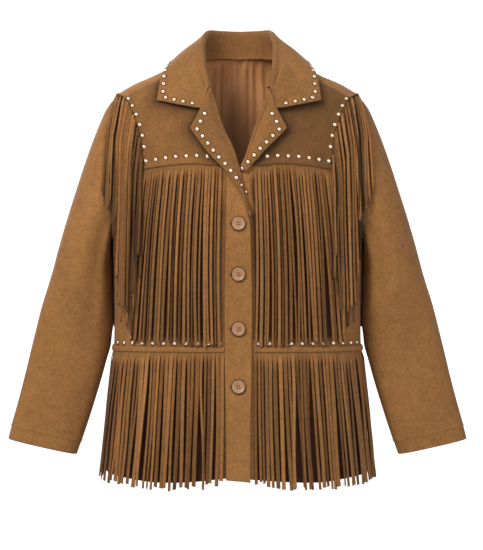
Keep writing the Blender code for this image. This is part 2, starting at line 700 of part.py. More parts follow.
def strand_pair(across, z, side, lift, width):
    """Return the two edge points of a strand lying along the body."""
    place = place_at(across, z, side)
    inner = max(-0.995, min(0.995, across))
    middle = laid_point(place[0], place[1], lift)
    near = laid_point(*place_at(inner - 0.004, z, side), lift)
    far = laid_point(*place_at(inner + 0.004, z, side), lift)
    along = (far - near) / np.linalg.norm(far - near)
    return middle - 0.5 * width * along, middle + 0.5 * width * along


class Hang(NamedTuple):
    """How a fringe hangs: the drop and lift at each station below its header."""
    header: float       # height of the uncut strip
    shares: tuple       # stations down the strand, as shares of its length
    lifts: tuple        # distance from the body's inner surface at each station
    uneven: float       # how unlike the strand lengths are


CHEST_HANG = Hang(header=22, shares=(0.3, 0.62, 1.0), lifts=(4.4, 6.4, 7.0), uneven=6)
WAIST_HANG = Hang(header=9, shares=(0.45, 1.0), lifts=(5.5, 10.0), uneven=5)


def body_fringe(name, line, tip_line, side, count, hang, seed, mat, collection):
    """Fringe that hangs from a line across the body to a line of tips."""
    rng = np.random.default_rng(seed)
    roots = spread(line, side, count)
    tips = spread(tip_line, side, count)
    tops, bottoms, strands = [], [], []
    for i, ((across, z), (tip_across, tip_z)) in enumerate(zip(roots, tips)):
        tops += strand_pair(across, z, side, LAID_ON, STRAND_WIDTH)
        bottoms += strand_pair(across, z - hang.header, side, LAID_ON, STRAND_WIDTH)
        root_z = z - hang.header
        length = root_z - tip_z + rng.uniform(-hang.uneven, hang.uneven)
        stagger = 1.6 * (i % 2) + rng.uniform(0, 0.5)
        pairs = []
        for share, lift in zip(hang.shares, hang.lifts):
            width = STRAND_WIDTH + share * (STRAND_TIP_WIDTH - STRAND_WIDTH)
            place = across + share * (tip_across - across)
            pairs.append(strand_pair(place, root_z - share * length, side, lift + share * stagger, width))
        strands.append(pairs)
    header = np.array((tops, bottoms))
    return mesh_fringe(name, header, strands, mat, collection, flip=side == BACK)


def level(x_from, x_to, z, dip=0.0):
    """Return a level line across the body, lower by the dip in the middle."""
    return [(x, z - dip * (1 - (x / DIP_HALF_WIDTH) ** 2)) for x in np.linspace(x_from, x_to, 9)]


def waist_tape(name, line, side, count, mat, collection):
    """Narrow tape sewn over the top of the waist fringe."""
    top = trace(line, side, count, False)
    hem = trace(shifted(line, dz=-TAPE_WIDTH), side, count, False)
    grid = on_body(np.array((top, hem)), TAPE_LIFT)
    return add_sheet(name, grid, mat, collection, TAPE_WALL, flip=side == BACK)


class ArmholeStrand(NamedTuple):
    """One strand of the armhole fringe: where it hangs and where it ends."""
    hang_x: float
    end_z: float


ARMHOLE_STRANDS_FRONT = tuple(ArmholeStrand(x, z) for x, z in (
    (164, -372), (170.5, -350), (177, -400), (183.5, -335), (190, -452), (196.5, -424),
    (203, -408), (209, -340), (215, -300), (220.5, -262), (226, -235)))
ARMHOLE_STRANDS_BACK = tuple(ArmholeStrand(x, z) for x, z in (
    (222, -240), (217, -290), (211, -330), (205, -410), (199, -440), (193, -425),
    (186.5, -380), (180, -345), (173.5, -390)))
ARMHOLE_STRAND_WIDTH = 4.6
ARMHOLE_HEADER = 7.0
ARMHOLE_LIFT = SUEDE + 0.7                       # header above the sleeve's inner surface
ARMHOLE_FRONT_ARC = (math.radians(98), math.radians(4.5))
ARMHOLE_BACK_ARC = (math.radians(-4.5), math.radians(-96))
ARMHOLE_ROOT_HALF_ANGLE = 0.026
# Share of the way from root to hanging place, and drop below the root
ARMHOLE_FALL = ((0.5, 16), (0.9, 44), (1.0, 90))
COVER_REACH = 14.0      # strands lie clear of what is this far above and below them
COVER_MOST = 16.0       # most that a strand stands off a steep slope


def armhole_frame(angle, sign):
    """Return the sleeve's start point, its direction down the sleeve and its outward normal."""
    angles = np.array((angle - 0.04, angle, angle + 0.04)) % (2 * math.pi)
    start = armhole_loop(angles)
    start[:, 0] += armhole_clear(angles)
    first = sleeve_section(SLEEVE_ROWS[0], angles)
    down = first[1] - start[1]
    down /= np.linalg.norm(down)
    normal = np.cross(down, start[2] - start[0])
    normal /= np.linalg.norm(normal)
    if np.dot(normal, start[1] - np.array((207, 0, ARMHOLE_MIDDLE_Z))) < 0:
        normal = -normal
    turn = np.array((sign, 1, 1))
    return start[1] * turn, down * turn, normal * turn


def cover_depth(trees, x, z, side, lift):
    """Return the y of a point that lies on everything already built, seen from one side."""
    start = Vector((x, side * 500, z))
    hit, normal, _, _ = trees.ray_cast(start, Vector((0, -side, 0)))
    if hit is None:
        return 0.0
    return hit.y + side * min(COVER_MOST, lift / max(0.25, abs(normal.y)))


def surface_tree(names):
    """Return one search tree over the sheets named."""
    points, faces = [], []
    for name in names:
        own, quads = SHEETS[name]
        faces += [tuple(k + len(points) for k in quad) for quad in quads]
        points += own
    return BVHTree.FromPolygons(points, faces)


def armhole_strand(sign, side, root, strand, tree, lift):
    """Return the edge pairs of one strand from its root down to its end."""
    x0, z0 = sign * root[0], root[2]
    run = strand.hang_x - x0
    path = [(x0 + share * run, z0 - drop) for share, drop in ARMHOLE_FALL]
    half_way = 0.5 * (path[-1][1] + strand.end_z)
    path += [(strand.hang_x + 1, half_way), (strand.hang_x + 1, strand.end_z)]
    before = (x0, z0)
    pairs = []
    reach = 0.0
    for x, z in path:
        step = np.array((x - before[0], z - before[1]))
        step /= np.linalg.norm(step)
        aside = 0.5 * ARMHOLE_STRAND_WIDTH * np.array((-step[1], step[0]))
        edges = [(x - aside[0], z - aside[1]), (x + aside[0], z + aside[1])]
        found = [cover_depth(tree, sign * px, pz + dz, side, lift) * side
                 for px, pz in edges for dz in (-COVER_REACH, 0, COVER_REACH)]
        reach = max(reach, *found)
        pairs.append([np.array((sign * px, side * reach, pz)) for px, pz in edges])
        before = (x, z)
    return pairs


def armhole_fringe(sign, mat, collection):
    """Fringe sewn round the armhole, hanging over the front and back of the sleeve."""
    label = SIDE_NAME[sign]
    front_tree = surface_tree([f"sleeve_{label}", f"front_{label}", f"front_yoke_{label}",
                               f"chest_fringe_{label}"])
    back_tree = surface_tree([f"sleeve_{label}", "back", "back_yoke", "back_fringe"])
    front_angles = np.linspace(*ARMHOLE_FRONT_ARC, len(ARMHOLE_STRANDS_FRONT))
    back_angles = np.linspace(*ARMHOLE_BACK_ARC, len(ARMHOLE_STRANDS_BACK))
    tops, roots, strands = [], [], []
    rows = [(a, FRONT, s) for a, s in zip(front_angles, ARMHOLE_STRANDS_FRONT)]
    rows += [(a, BACK, s) for a, s in zip(back_angles, ARMHOLE_STRANDS_BACK)]
    for angle, side, strand in rows:
        tree = front_tree if side == FRONT else back_tree
        edges = []
        for turn in (ARMHOLE_ROOT_HALF_ANGLE, -ARMHOLE_ROOT_HALF_ANGLE):
            start, down, normal = armhole_frame(angle + turn, sign)
            lift = ARMHOLE_LIFT * normal
            tops.append(start + lift)
            edges.append(start + ARMHOLE_HEADER * down + lift)
        roots += edges
        middle = 0.5 * (edges[0] + edges[1])
        pairs = armhole_strand(sign, side, middle, strand, tree, SUEDE + FRINGE + 1.6)
        ordered = [pair if side == FRONT else pair[::-1] for pair in pairs]
        strands.append(ordered)
    header = np.array((tops, roots))
    return mesh_fringe(f"armhole_fringe_{label}", header, strands, mat, collection,
                       flip=sign == LEFT)


# ---------------------------------------------------------------- scene

def clear_scene():
    """Remove every object that the file starts with."""
    for obj in list(bpy.data.objects):
        bpy.data.objects.remove(obj)


def fringes(mat, collection):
    """Build every fringe and the waist tape over it."""
    hem_front, hem_back = side_seam_x(HEM_Z, FRONT), side_seam_x(HEM_Z, BACK)
    seam_front, seam_back = side_seam_x(WAIST_Z, FRONT), side_seam_x(WAIST_Z, BACK)
    for sign in (RIGHT, LEFT):
        label = SIDE_NAME[sign]
        inner = CHEST_INNER_X[sign]
        roots = shifted([(154, -191), *YOKE_LINE_FRONT[1:3], (inner, -186.5)], dz=-ROOT_DROP_FRONT)
        tips = [(CHEST_TIP_X, CHEST_TIP_Z), (inner + 1, CHEST_TIP_Z)]
        lines = [mirrored(line, sign)[::int(-sign)] for line in (roots, tips)]
        body_fringe(f"chest_fringe_{label}", *lines, FRONT, CHEST_STRANDS, CHEST_HANG,
                    11 + int(sign), mat, collection)
        near = WAIST_INNER_X[sign]
        waist = level(near, seam_front, WAIST_Z)
        tips = level(near * WAIST_TIP_FLARE, hem_front, WAIST_TIP_Z, WAIST_TIP_DIP)
        tape = level(near + 0.5, seam_front, WAIST_Z)
        waist, tips, tape = (mirrored(line, sign)[::int(sign)] for line in (waist, tips, tape))
        body_fringe(f"waist_fringe_front_{label}", waist, tips, FRONT, WAIST_FRONT_STRANDS,
                    WAIST_HANG, 21 + int(sign), mat, collection)
        waist_tape(f"waist_tape_front_{label}", tape, FRONT, TAPE_STEPS_FRONT, mat, collection)
    half = shifted(YOKE_LINE_BACK, dz=-ROOT_DROP_BACK)
    body_fringe("back_fringe", mirrored(half, -1) + half[-2::-1],
                [(-BACK_TIP_X, BACK_TIP_Z), (BACK_TIP_X, BACK_TIP_Z)], BACK, BACK_STRANDS,
                CHEST_HANG, 31, mat, collection)
    body_fringe("waist_fringe_back", level(-seam_back, seam_back, WAIST_Z),
                level(-hem_back, hem_back, WAIST_TIP_Z, WAIST_TIP_DIP), BACK, WAIST_BACK_STRANDS,
                WAIST_HANG, 41, mat, collection)
    waist_tape("waist_tape_back", level(-seam_back, seam_back, WAIST_Z), BACK, TAPE_STEPS_BACK,
               mat, collection)
    for sign in (RIGHT, LEFT):
        armhole_fringe(sign, mat, collection)


def main():
    """Build the jacket."""
    clear_scene()
    collection = bpy.data.collections.new("fringed_buckskin_jacket")
    bpy.context.scene.collection.children.link(collection)
    suede = material("suede", (0.33, 0.155, 0.05), 0.92)
    lining = material("lining", (0.28, 0.14, 0.06), 0.6)
    horn = material("horn", (0.39, 0.21, 0.10), 0.45)
    back(suede, collection)
    back_yoke(suede, collection)
    neck_lining(lining, collection)
    for sign in (RIGHT, LEFT):
        front_yoke(sign, suede, collection)
        front(sign, suede, collection)
        sleeve(sign, suede, collection)
        lapel(sign, suede, collection)
    placket(suede, collection)
    collar(suede, collection)
    for number, z in enumerate(BUTTON_Z, start=1):
        button(number, z, horn, collection)
    fringes(suede, collection)


main()
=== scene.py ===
"""Looks of the fringed buckskin jacket: its cloth, fringe, studs, buttons, stitching and finishes.

Sizes are millimetres and become metres where a mesh is made. X runs to the wearer's left, +Y to
the back and +Z up; the origin is the middle of the neck opening. Every cut and sewn piece is a
thin closed shell on the form of the body or the sleeve.
"""
import logging
import math
from dataclasses import dataclass, field
from enum import Enum
from functools import cached_property
from typing import Mapping, NamedTuple, Sequence

import bpy
import numpy as np
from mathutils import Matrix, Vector
from mathutils.bvhtree import BVHTree


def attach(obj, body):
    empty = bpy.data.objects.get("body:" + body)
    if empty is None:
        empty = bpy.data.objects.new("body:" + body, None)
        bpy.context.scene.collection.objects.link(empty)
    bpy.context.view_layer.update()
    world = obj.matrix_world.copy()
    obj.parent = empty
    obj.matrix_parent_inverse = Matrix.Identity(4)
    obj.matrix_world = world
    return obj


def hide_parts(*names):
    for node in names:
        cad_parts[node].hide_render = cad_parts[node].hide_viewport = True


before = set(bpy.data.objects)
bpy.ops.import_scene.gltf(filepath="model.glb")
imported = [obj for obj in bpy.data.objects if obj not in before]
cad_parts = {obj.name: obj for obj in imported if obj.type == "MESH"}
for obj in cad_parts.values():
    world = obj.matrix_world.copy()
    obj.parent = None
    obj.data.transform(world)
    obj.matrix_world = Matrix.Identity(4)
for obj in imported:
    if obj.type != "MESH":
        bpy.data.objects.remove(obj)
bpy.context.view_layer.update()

LOG = logging.getLogger("jacket")
MM = 0.001
Array = np.ndarray
Pairs = Sequence[tuple[float, float]]
Colour = tuple[float, float, float]
Point = tuple[float, float, float]
Piece = bpy.types.Object
Material = bpy.types.Material

# Leather, as thick as the solids under it
SUEDE = 2.0
FACING = 1.8
FRINGE = 1.3
LINING = 1.0
SEAM_GAP = 0.3
LAID_ON = SUEDE + 0.7   # where a piece lies that is sewn on a body panel
EDGE_ROLL = 0.42        # how far both surfaces draw in at a cut edge, as a share of the thickness

WAIST_Z = -485.0
HEM_Z = -697.0          # the panels end a little above the fringe tips
HEM_LINE = ((0, -698), (60, -703), (125, -706), (180, -701), (216, -691))
UNDERARM_Z = -277.0
FAR = 500.0             # where rays start, well outside the jacket


class Face(Enum):
    """Front or back of the body, as the sign of Y there."""
    FRONT = -1
    BACK = 1


class Hand(Enum):
    """Wearer's right or left, as the sign of X there."""
    RIGHT = -1
    LEFT = 1

    @property
    def label(self) -> str:
        """Return the word used in names."""
        return self.name.lower()


def by_hand(right: object, left: object) -> dict[Hand, object]:
    """Return a dataclass field with a value for each side."""
    return field(default_factory=lambda: {Hand.RIGHT: right, Hand.LEFT: left})


# ---------- forms

class Curve:
    """Smooth curve through a table of values, held level beyond both ends."""

    def __init__(self, places: Sequence[float], values: Sequence) -> None:
        """Keep the table and work out its slopes.

        Args:
            places: Rising positions along the curve.
            values: Value, or row of values, at each position.
        """
        self.places = np.asarray(places, float)
        self.values = np.asarray(values, float)
        self.slopes = np.gradient(self.values, self.places, axis=0)

    def __call__(self, place: Array | float) -> Array:
        """Return the values at one or more places, by cubic Hermite interpolation."""
        place = np.clip(np.asarray(place, float), self.places[0], self.places[-1])
        last = len(self.places) - 2
        i = np.clip(np.searchsorted(self.places, place, side="right") - 1, 0, last)
        span = self.places[i + 1] - self.places[i]
        t = (place - self.places[i]) / span
        if self.values.ndim > 1:
            t, span = t[..., None], span[..., None]
        start = (1 + 2 * t) * (1 - t) ** 2 * self.values[i] + t * (1 - t) ** 2 * span * self.slopes[i]
        end = t * t * (3 - 2 * t) * self.values[i + 1] + t * t * (t - 1) * span * self.slopes[i + 1]
        return start + end


def smooth_step(value: Array, low: float, high: float) -> Array:
    """Return 0 below low, 1 above high, and a soft rise between them."""
    t = np.clip((value - low) / (high - low), 0, 1)
    return t * t * (3 - 2 * t)


def unit(vectors: Array) -> Array:
    """Return vectors scaled to length 1."""
    return vectors / np.maximum(np.linalg.norm(vectors, axis=-1, keepdims=True), 1e-9)


def run_of(points: Array) -> Array:
    """Return the distance along a line of points at each of them."""
    steps = np.linalg.norm(np.diff(points, axis=0), axis=1)
    return np.concatenate(([0.0], np.cumsum(steps)))


def resampled(line: Array, stops: Array, by: Array) -> Array:
    """Return the rows of a table at given stops along a rising measure.

    Args:
        line: Rows to sample.
        stops: Where to sample them.
        by: The measure at each row.

    Returns:
        One row for each stop.
    """
    return np.stack([np.interp(stops, by, line[:, k]) for k in range(line.shape[1])], axis=-1)


class BodyRow(NamedTuple):
    """One level section of the body: a superellipse with unlike front and back."""
    z: float
    half_width: float
    front: float
    back: float
    power: float


@dataclass(frozen=True)
class Crease:
    """Soft ridge, or trough where the height is negative, between two (x, z) places."""
    face: Face
    start: tuple[float, float]
    end: tuple[float, float]
    height: float
    width: float

    def rise(self, x: Array, z: Array, on_front: Array) -> Array:
        """Return how far the crease lifts the cloth at each place."""
        first, way = np.array(self.start), np.array(self.end) - np.array(self.start)
        dx, dz = x - first[0], z - first[1]
        t = np.clip((dx * way[0] + dz * way[1]) / (way @ way), 0, 1)
        away = np.hypot(dx - t * way[0], dz - t * way[1])
        body = np.exp(-(away / self.width) ** 2) * (0.55 + 0.45 * np.sin(math.pi * t))
        same = on_front if self.face is Face.FRONT else ~on_front
        return np.where(same, self.height * body, 0.0)


BODY_ROWS = (
    BodyRow(-730, 224, 112, 112, 2.6),
    BodyRow(-600, 214, 105, 106, 2.65),
    BodyRow(-485, 206, 97, 99, 2.75),
    BodyRow(-380, 206, 101, 98, 2.7),
    BodyRow(-277, 210, 106, 98, 2.5),
    BodyRow(-200, 214, 104, 96, 2.3),
    BodyRow(-100, 219, 93, 91, 2.2),
    BodyRow(0, 222, 72, 78, 2.1),
    BodyRow(60, 222, 62, 70, 2.0),
)
RIDGE = ((0, 38), (40, 25), (75, 0), (119, -22), (141, -32.5), (178, -49), (204, -65), (230, -84))
BODY_CREASES = (
    Crease(Face.FRONT, (-165, -120), (-98, -66), -1.1, 15),
    Crease(Face.FRONT, (-150, -160), (-84, -140), 1.3, 20),
    Crease(Face.FRONT, (-120, -92), (-112, -176), 0.9, 16),
    Crease(Face.FRONT, (164, -128), (104, -76), -1.3, 13),
    Crease(Face.FRONT, (146, -172), (92, -150), 1.2, 22),
    Crease(Face.FRONT, (106, -100), (120, -176), 0.8, 15),
    Crease(Face.BACK, (-168, -110), (-92, -60), -1.3, 16),
    Crease(Face.BACK, (160, -150), (96, -96), -1.0, 14),
    Crease(Face.BACK, (-60, -30), (-70, -176), 1.0, 22),
    Crease(Face.BACK, (44, -24), (66, -170), 1.2, 24),
    Crease(Face.BACK, (0, -6), (-6, -120), -0.8, 20),
    Crease(Face.FRONT, (2, -300), (-4, -340), 0.9, 18),
    Crease(Face.FRONT, (4, -392), (6, -430), 1.1, 17),
    Crease(Face.FRONT, (-2, -500), (3, -524), -0.9, 20),
    Crease(Face.FRONT, (0, -590), (4, -650), 1.3, 22),
)


@dataclass(frozen=True)
class BodyForm:
    """Filled-out body that the panels, fringe and trims are laid on.

    A place on it is (across, down): across runs from -1 to 1 at the side seams, and down from the
    shoulder ridge, negative on the front.
    """
    rows: tuple[BodyRow, ...] = BODY_ROWS
    ridge: Pairs = RIDGE
    creases: tuple[Crease, ...] = BODY_CREASES
    arch: float = 70.0
    across_mm: float = 300.0    # rough length of one unit across

    @cached_property
    def section(self) -> Curve:
        """Half width, front depth, back depth and power at a height."""
        return Curve([r.z for r in self.rows], [r[1:] for r in self.rows])

    @cached_property
    def ridge_line(self) -> Curve:
        """Height of the shoulder ridge at a distance from the middle."""
        return Curve(*zip(*self.ridge))

    def places(self, x: Array, z: Array, face: Face) -> Array:
        """Return the places of points seen from the front or back."""
        half_width, _, _, power = np.moveaxis(self.section(z), -1, 0)
        share = np.minimum(1.0, (np.abs(x) / half_width) ** (power / 2))
        across = np.copysign(np.arcsin(share) * 2 / math.pi, x)
        drop = (self.ridge_line(np.abs(x)) - z) / self.arch
        bent = np.arccos(np.clip(1 - drop, -1, 1)) * 2 / math.pi
        down = np.where(drop < 1, bent, 1 + (drop - 1) * 2 / math.pi)
        return np.stack((across, face.value * down), axis=-1)

    def place_at(self, across: Array, z: Array, face: Face) -> Array:
        """Return the places with given across coordinates and heights."""
        half_width, _, _, power = np.moveaxis(self.section(z), -1, 0)
        x = half_width * np.sin(np.minimum(1.0, np.abs(across)) * math.pi / 2) ** (2 / power)
        down = self.places(x, z, face)[..., 1]
        return np.stack(np.broadcast_arrays(across, down), axis=-1)

    def point(self, places: Array) -> Array:
        """Return the points of the body's inner surface at places."""
        across, down = places[..., 0], places[..., 1]
        step = np.abs(down)
        bend = np.minimum(step, 1) * math.pi / 2
        drop = np.where(step < 1, 1 - np.cos(bend), 1 + (step - 1) * math.pi / 2)
        angle = np.abs(across) * math.pi / 2
        z = np.full(across.shape, -200.0)
        for _ in range(8):
            half_width, front, back, power = np.moveaxis(self.section(z), -1, 0)
            x = half_width * np.sin(angle) ** (2 / power)
            z = self.ridge_line(x) - self.arch * drop
        depth = np.where(down < 0, -front, back)
        y = depth * np.maximum(0.0, np.cos(angle)) ** (2 / power) * np.sin(bend)
        return np.stack((np.copysign(x, across), y, z), axis=-1)

    def normal(self, places: Array) -> Array:
        """Return the outward unit normals at places."""
        a, d = np.clip(places[..., 0], -0.993, 0.993), places[..., 1]
        da, dd = 0.006, 0.012
        along = self.point(np.stack((a + da, d), -1)) - self.point(np.stack((a - da, d), -1))
        below = self.point(np.stack((a, d + dd), -1)) - self.point(np.stack((a, d - dd), -1))
        return unit(np.cross(along, below))

    def laid(self, places: Array, lift: Array | float = 0.0) -> Array:
        """Return points at a lift from the body, with its creases.

        Args:
            places: Grid or line of places.
            lift: Distance out from the inner surface, one or for each place.

        Returns:
            Points in millimetres.
        """
        points = self.point(places)
        rise = np.zeros(points.shape[:-1])
        for crease in self.creases:
            rise += crease.rise(points[..., 0], points[..., 2], places[..., 1] < 0)
        rise *= 1 - smooth_step(np.abs(places[..., 0]), 0.90, 0.99)
        out = np.broadcast_to(lift, rise.shape) + rise
        return points + out[..., None] * self.normal(places)

    def seam_x(self, z: Array | float, face: Face) -> Array:
        """Return the x at which a panel stops, half the seam gap short of the side seam."""
        half_width, front, back, power = np.moveaxis(self.section(z), -1, 0)
        depth = front if face is Face.FRONT else back
        return half_width * (1 - (0.5 * SEAM_GAP / depth) ** power) ** (1 / power)

    def trace(self, line: Pairs, face: Face, count: int, smooth: bool = True) -> Array:
        """Return evenly spaced places along a line of (x, z) points.

        Args:
            line: Points in millimetres.
            face: Side of the body that they are on.
            count: How many steps to make.
            smooth: Whether the line is a curve through its points.

        Returns:
            count + 1 places.
        """
        x, z = np.array(line, float).T
        pts = np.stack((self.places(x, z, face)[:, 0] * self.across_mm, z), axis=-1)
        run = run_of(pts)
        dense_run = np.linspace(0, run[-1], 400)
        dense = Curve(run, pts)(dense_run) if smooth and len(pts) > 2 else resampled(pts, dense_run, run)
        length = run_of(dense)
        even = resampled(dense, np.linspace(0, length[-1], count + 1), length)
        return self.place_at(even[:, 0] / self.across_mm, even[:, 1], face)


def joined(*lines: Array) -> Array:
    """Join lines end to end, keeping each shared end once."""
    return np.concatenate([lines[0]] + [line[1:] for line in lines[1:]])


def patch(top: Array, bottom: Array, left: Array, right: Array) -> Array:
    """Fill the grid between four edges, left and right running from the top down."""
    u = np.linspace(0, 1, len(top))[None, :, None]
    w = np.linspace(0, 1, len(left))[:, None, None]
    rows = (1 - w) * top[None] + w * bottom[None]
    columns = (1 - u) * left[:, None] + u * right[:, None]
    corners = (1 - w) * ((1 - u) * top[0] + u * top[-1]) + w * ((1 - u) * bottom[0] + u * bottom[-1])
    return rows + columns - corners


def relaxed(grid: Array, rounds: int) -> Array:
    """Even out the inside of a grid."""
    grid = grid.copy()
    for _ in range(rounds):
        around = grid[:-2, 1:-1] + grid[2:, 1:-1] + grid[1:-1, :-2] + grid[1:-1, 2:]
        grid[1:-1, 1:-1] = around / 4
    return grid


def finer(grid: Array, rows: int, columns: int) -> Array:
    """Return a grid sampled smoothly, with about the given numbers of rows and columns."""
    for axis, count in ((0, rows), (1, columns)):
        lined = np.moveaxis(grid, axis, 0)
        steps = np.linalg.norm(np.diff(lined, axis=0), axis=-1).mean(axis=1)
        run = np.concatenate(([0.0], np.cumsum(steps)))
        shares = np.linspace(0, run[-1], count)
        fine = Curve(run, lined.reshape(len(lined), -1))(shares)
        grid = np.moveaxis(fine.reshape(count, *lined.shape[1:]), 0, axis)
    return grid


def mirrored(line: Pairs, hand: Hand) -> list[tuple[float, float]]:
    """Return (x, z) points on one side of the body."""
    return [(hand.value * x, z) for x, z in line]


def shifted(line: Pairs, dz: float) -> list[tuple[float, float]]:
    """Return (x, z) points moved up or down."""
    return [(x, z + dz) for x, z in line]


def halves(half: Array) -> Array:
    """Return a line from the wearer's right to the left, from its left half, outer end first."""
    return joined(half * np.array((-1, 1)), half[::-1])


def grid_normals(grid: Array, closed: bool = False) -> Array:
    """Return the unit normals of a grid of points, along across-step x down-step.

    Args:
        grid: Points by row and column.
        closed: Whether the last column joins the first.

    Returns:
        One normal for each point.
    """
    if closed:
        across = np.roll(grid, -1, axis=1) - np.roll(grid, 1, axis=1)
    else:
        across = np.gradient(grid, axis=1)
    return unit(np.cross(across, np.gradient(grid, axis=0)))


# ---------- meshes

TINT = "dye"    # colour attribute: each point's own tone against the suede's colour, and its painted shade


class Stitchwork:
    """One mesh under way: points in millimetres, its faces and the finish of each face."""

    def __init__(self, name: str) -> None:
        """Start an empty mesh with a piece's name."""
        self.name = name
        self.points: list[Array] = []
        self.faces: list[list[int]] = []
        self.finish: list[int] = []
        self.tints: list[Array] = []
        self.count = 0

    def add(self, points: Array, *parts: tuple[Array, int], tint: Array | None = None) -> None:
        """Add a body of points and its faces.

        Args:
            points: Points, in any grid shape.
            parts: Pairs of an array of point numbers, one row a face, and the number of the
                finish that those faces have.
            tint: Tint of each point against its finish's colour, none if left out.
        """
        flat = points.reshape(-1, 3)
        self.tints.append(np.ones_like(flat) if tint is None else tint.reshape(-1, 3))
        for faces, finish in parts:
            self.faces += (np.asarray(faces) + self.count).tolist()
            self.finish += [finish] * len(faces)
        self.points.append(flat)
        self.count += len(flat)

    def tree(self) -> BVHTree:
        """Return a search tree over what has been added, in millimetres."""
        return BVHTree.FromPolygons(np.concatenate(self.points).tolist(), self.faces)

    def make(self, finishes: Sequence[Material], slot: str,
             nodes: Sequence[str] = ()) -> Piece:
        """Make the object and let it ride on the jacket.

        Args:
            finishes: Materials, in the order that faces name them.
            slot: The record's material slot; not used.
            nodes: Solids that the piece stands for.

        Returns:
            The object.
        """
        mesh = bpy.data.meshes.new(self.name)
        mesh.from_pydata((np.concatenate(self.points) * MM).tolist(), [], self.faces)
        mesh.update()
        for finish in finishes:
            mesh.materials.append(finish)
        mesh.polygons.foreach_set("material_index", self.finish)
        mesh.polygons.foreach_set("use_smooth", [True] * len(self.faces))
        tints = np.concatenate(self.tints)
        if not np.all(tints == 1):
            dye = mesh.attributes.new(TINT, "FLOAT_COLOR", "POINT")
            dye.data.foreach_set("color", np.c_[tints, np.ones(len(tints))].ravel())
        piece = bpy.data.objects.new(self.name, mesh)
        bpy.context.scene.collection.objects.link(piece)
        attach(piece, "root")
        if nodes:
            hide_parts(*nodes)
        LOG.info("%s: %d faces", self.name, len(self.faces))
        return piece


def grid_quads(rows: int, columns: int, closed: bool = False) -> Array:
    """Return the quads of a grid of points, facing along grid_normals."""
    i, j = np.meshgrid(np.arange(rows - 1), np.arange(columns if closed else columns - 1), indexing="ij")
    k = (j + 1) % columns
    return np.stack((i * columns + j, i * columns + k, (i + 1) * columns + k, (i + 1) * columns + j),
                    axis=-1).reshape(-1, 4)


def round_turn(count: int) -> Array:
    """Return evenly spaced angles once round."""
    return np.linspace(0, math.tau, count, endpoint=False)


def fan(rows: int, around: int) -> Array:
    """Return the triangles from the last of some rings to the one point after it."""
    last = (rows - 1) * around + np.arange(around)
    return np.stack((last, np.roll(last, -1), np.full(around, rows * around)), axis=-1)


def end_caps(rows: int, around: int) -> Array:
    """Return the faces that close the first and the last of some rings."""
    return np.stack((np.arange(around)[::-1], np.arange(around) + (rows - 1) * around))


class Shell:
    """Closed sheet of cloth: a grid, thickened outward, with soft rolled edges."""

    def __init__(self, grid: Array, thickness: float, outward: int, closed: bool = False) -> None:
        """Thicken a grid.

        Args:
            grid: Points of the inner surface, by row and column.
            thickness: Of the cloth.
            outward: 1 if grid_normals point outward, otherwise -1.
            closed: Whether the last column joins the first, as on a sleeve.
        """
        self.closed = closed
        self.outward = outward
        normals = grid_normals(grid, closed) * outward
        soft = EDGE_ROLL * thickness
        pull = np.zeros_like(grid)
        pull[0] += unit(grid[1] - grid[0]) * soft
        pull[-1] += unit(grid[-2] - grid[-1]) * soft
        if not closed:
            pull[:, 0] += unit(grid[:, 1] - grid[:, 0]) * soft
            pull[:, -1] += unit(grid[:, -2] - grid[:, -1]) * soft
        self.inner = grid + pull
        self.middle = grid + 0.5 * thickness * normals
        self.outer = grid + thickness * normals + pull

    def _rings(self) -> list[Array]:
        """Return the grid places round each open edge, in order."""
        rows, columns = self.inner.shape[:2]
        number = np.arange(rows * columns).reshape(rows, columns)
        if self.closed:
            return [number[0], number[-1][::-1]]
        return [np.concatenate((number[0, :-1], number[:-1, -1], number[-1, :0:-1], number[:0:-1, 0]))]

    def piece(self, name: str, kinds: Sequence[Material], slot: str, node: str,
              tint: Array | None = None) -> Piece:
        """Make the sheet's piece.

        Args:
            name: The piece's name.
            kinds: Finish of its two surfaces, and of its cut edges.
            slot: The record's material slot.
            node: Solid that the piece stands for.
            tint: Tint at each point of the grid, none if left out.

        Returns:
            The piece.
        """
        rows, columns = self.inner.shape[:2]
        size = rows * columns
        quads = grid_quads(rows, columns, self.closed)
        if self.outward < 0:
            quads = quads[:, ::-1]
        rims, start = [], 2 * size
        points = [self.inner.reshape(-1, 3), self.outer.reshape(-1, 3)]
        tints = [] if tint is None else [tint.reshape(-1, 3)] * 2
        for ring in self._rings():
            turn = ring if self.outward > 0 else ring[::-1]
            if tint is not None:
                tints.append(tint.reshape(-1, 3)[turn])
            after = np.roll(np.arange(len(turn)), -1)
            rim = start + np.arange(len(turn))
            points.append(self.middle.reshape(-1, 3)[turn])
            rims.append(np.stack((turn, turn[after], rim[after], rim), axis=-1))
            rims.append(np.stack((rim, rim[after], turn[after] + size, turn + size), axis=-1))
            start += len(turn)
        work = Stitchwork(name)
        work.add(np.concatenate(points), (quads[:, ::-1], 0), (quads + size, 0),
                 *((rim, 1) for rim in rims), tint=np.concatenate(tints) if tints else None)
        LOG.info("%s: %.4f square metres", name, self.area())
        return work.make(kinds, slot, (node,))

    def tree(self) -> BVHTree:
        """Return a search tree over the outer surface."""
        rows, columns = self.outer.shape[:2]
        return BVHTree.FromPolygons(self.outer.reshape(-1, 3).tolist(),
                                    grid_quads(rows, columns, self.closed).tolist())

    def area(self) -> float:
        """Return the area of one side, in square metres."""
        rows, columns = self.outer.shape[:2]
        a, b, c, d = (self.middle.reshape(-1, 3)[k] for k in grid_quads(rows, columns, self.closed).T)
        both = np.linalg.norm(np.cross(c - a, d - b), axis=1) / 2
        return float(both.sum()) * MM * MM


# ---------- shader maths and finishes

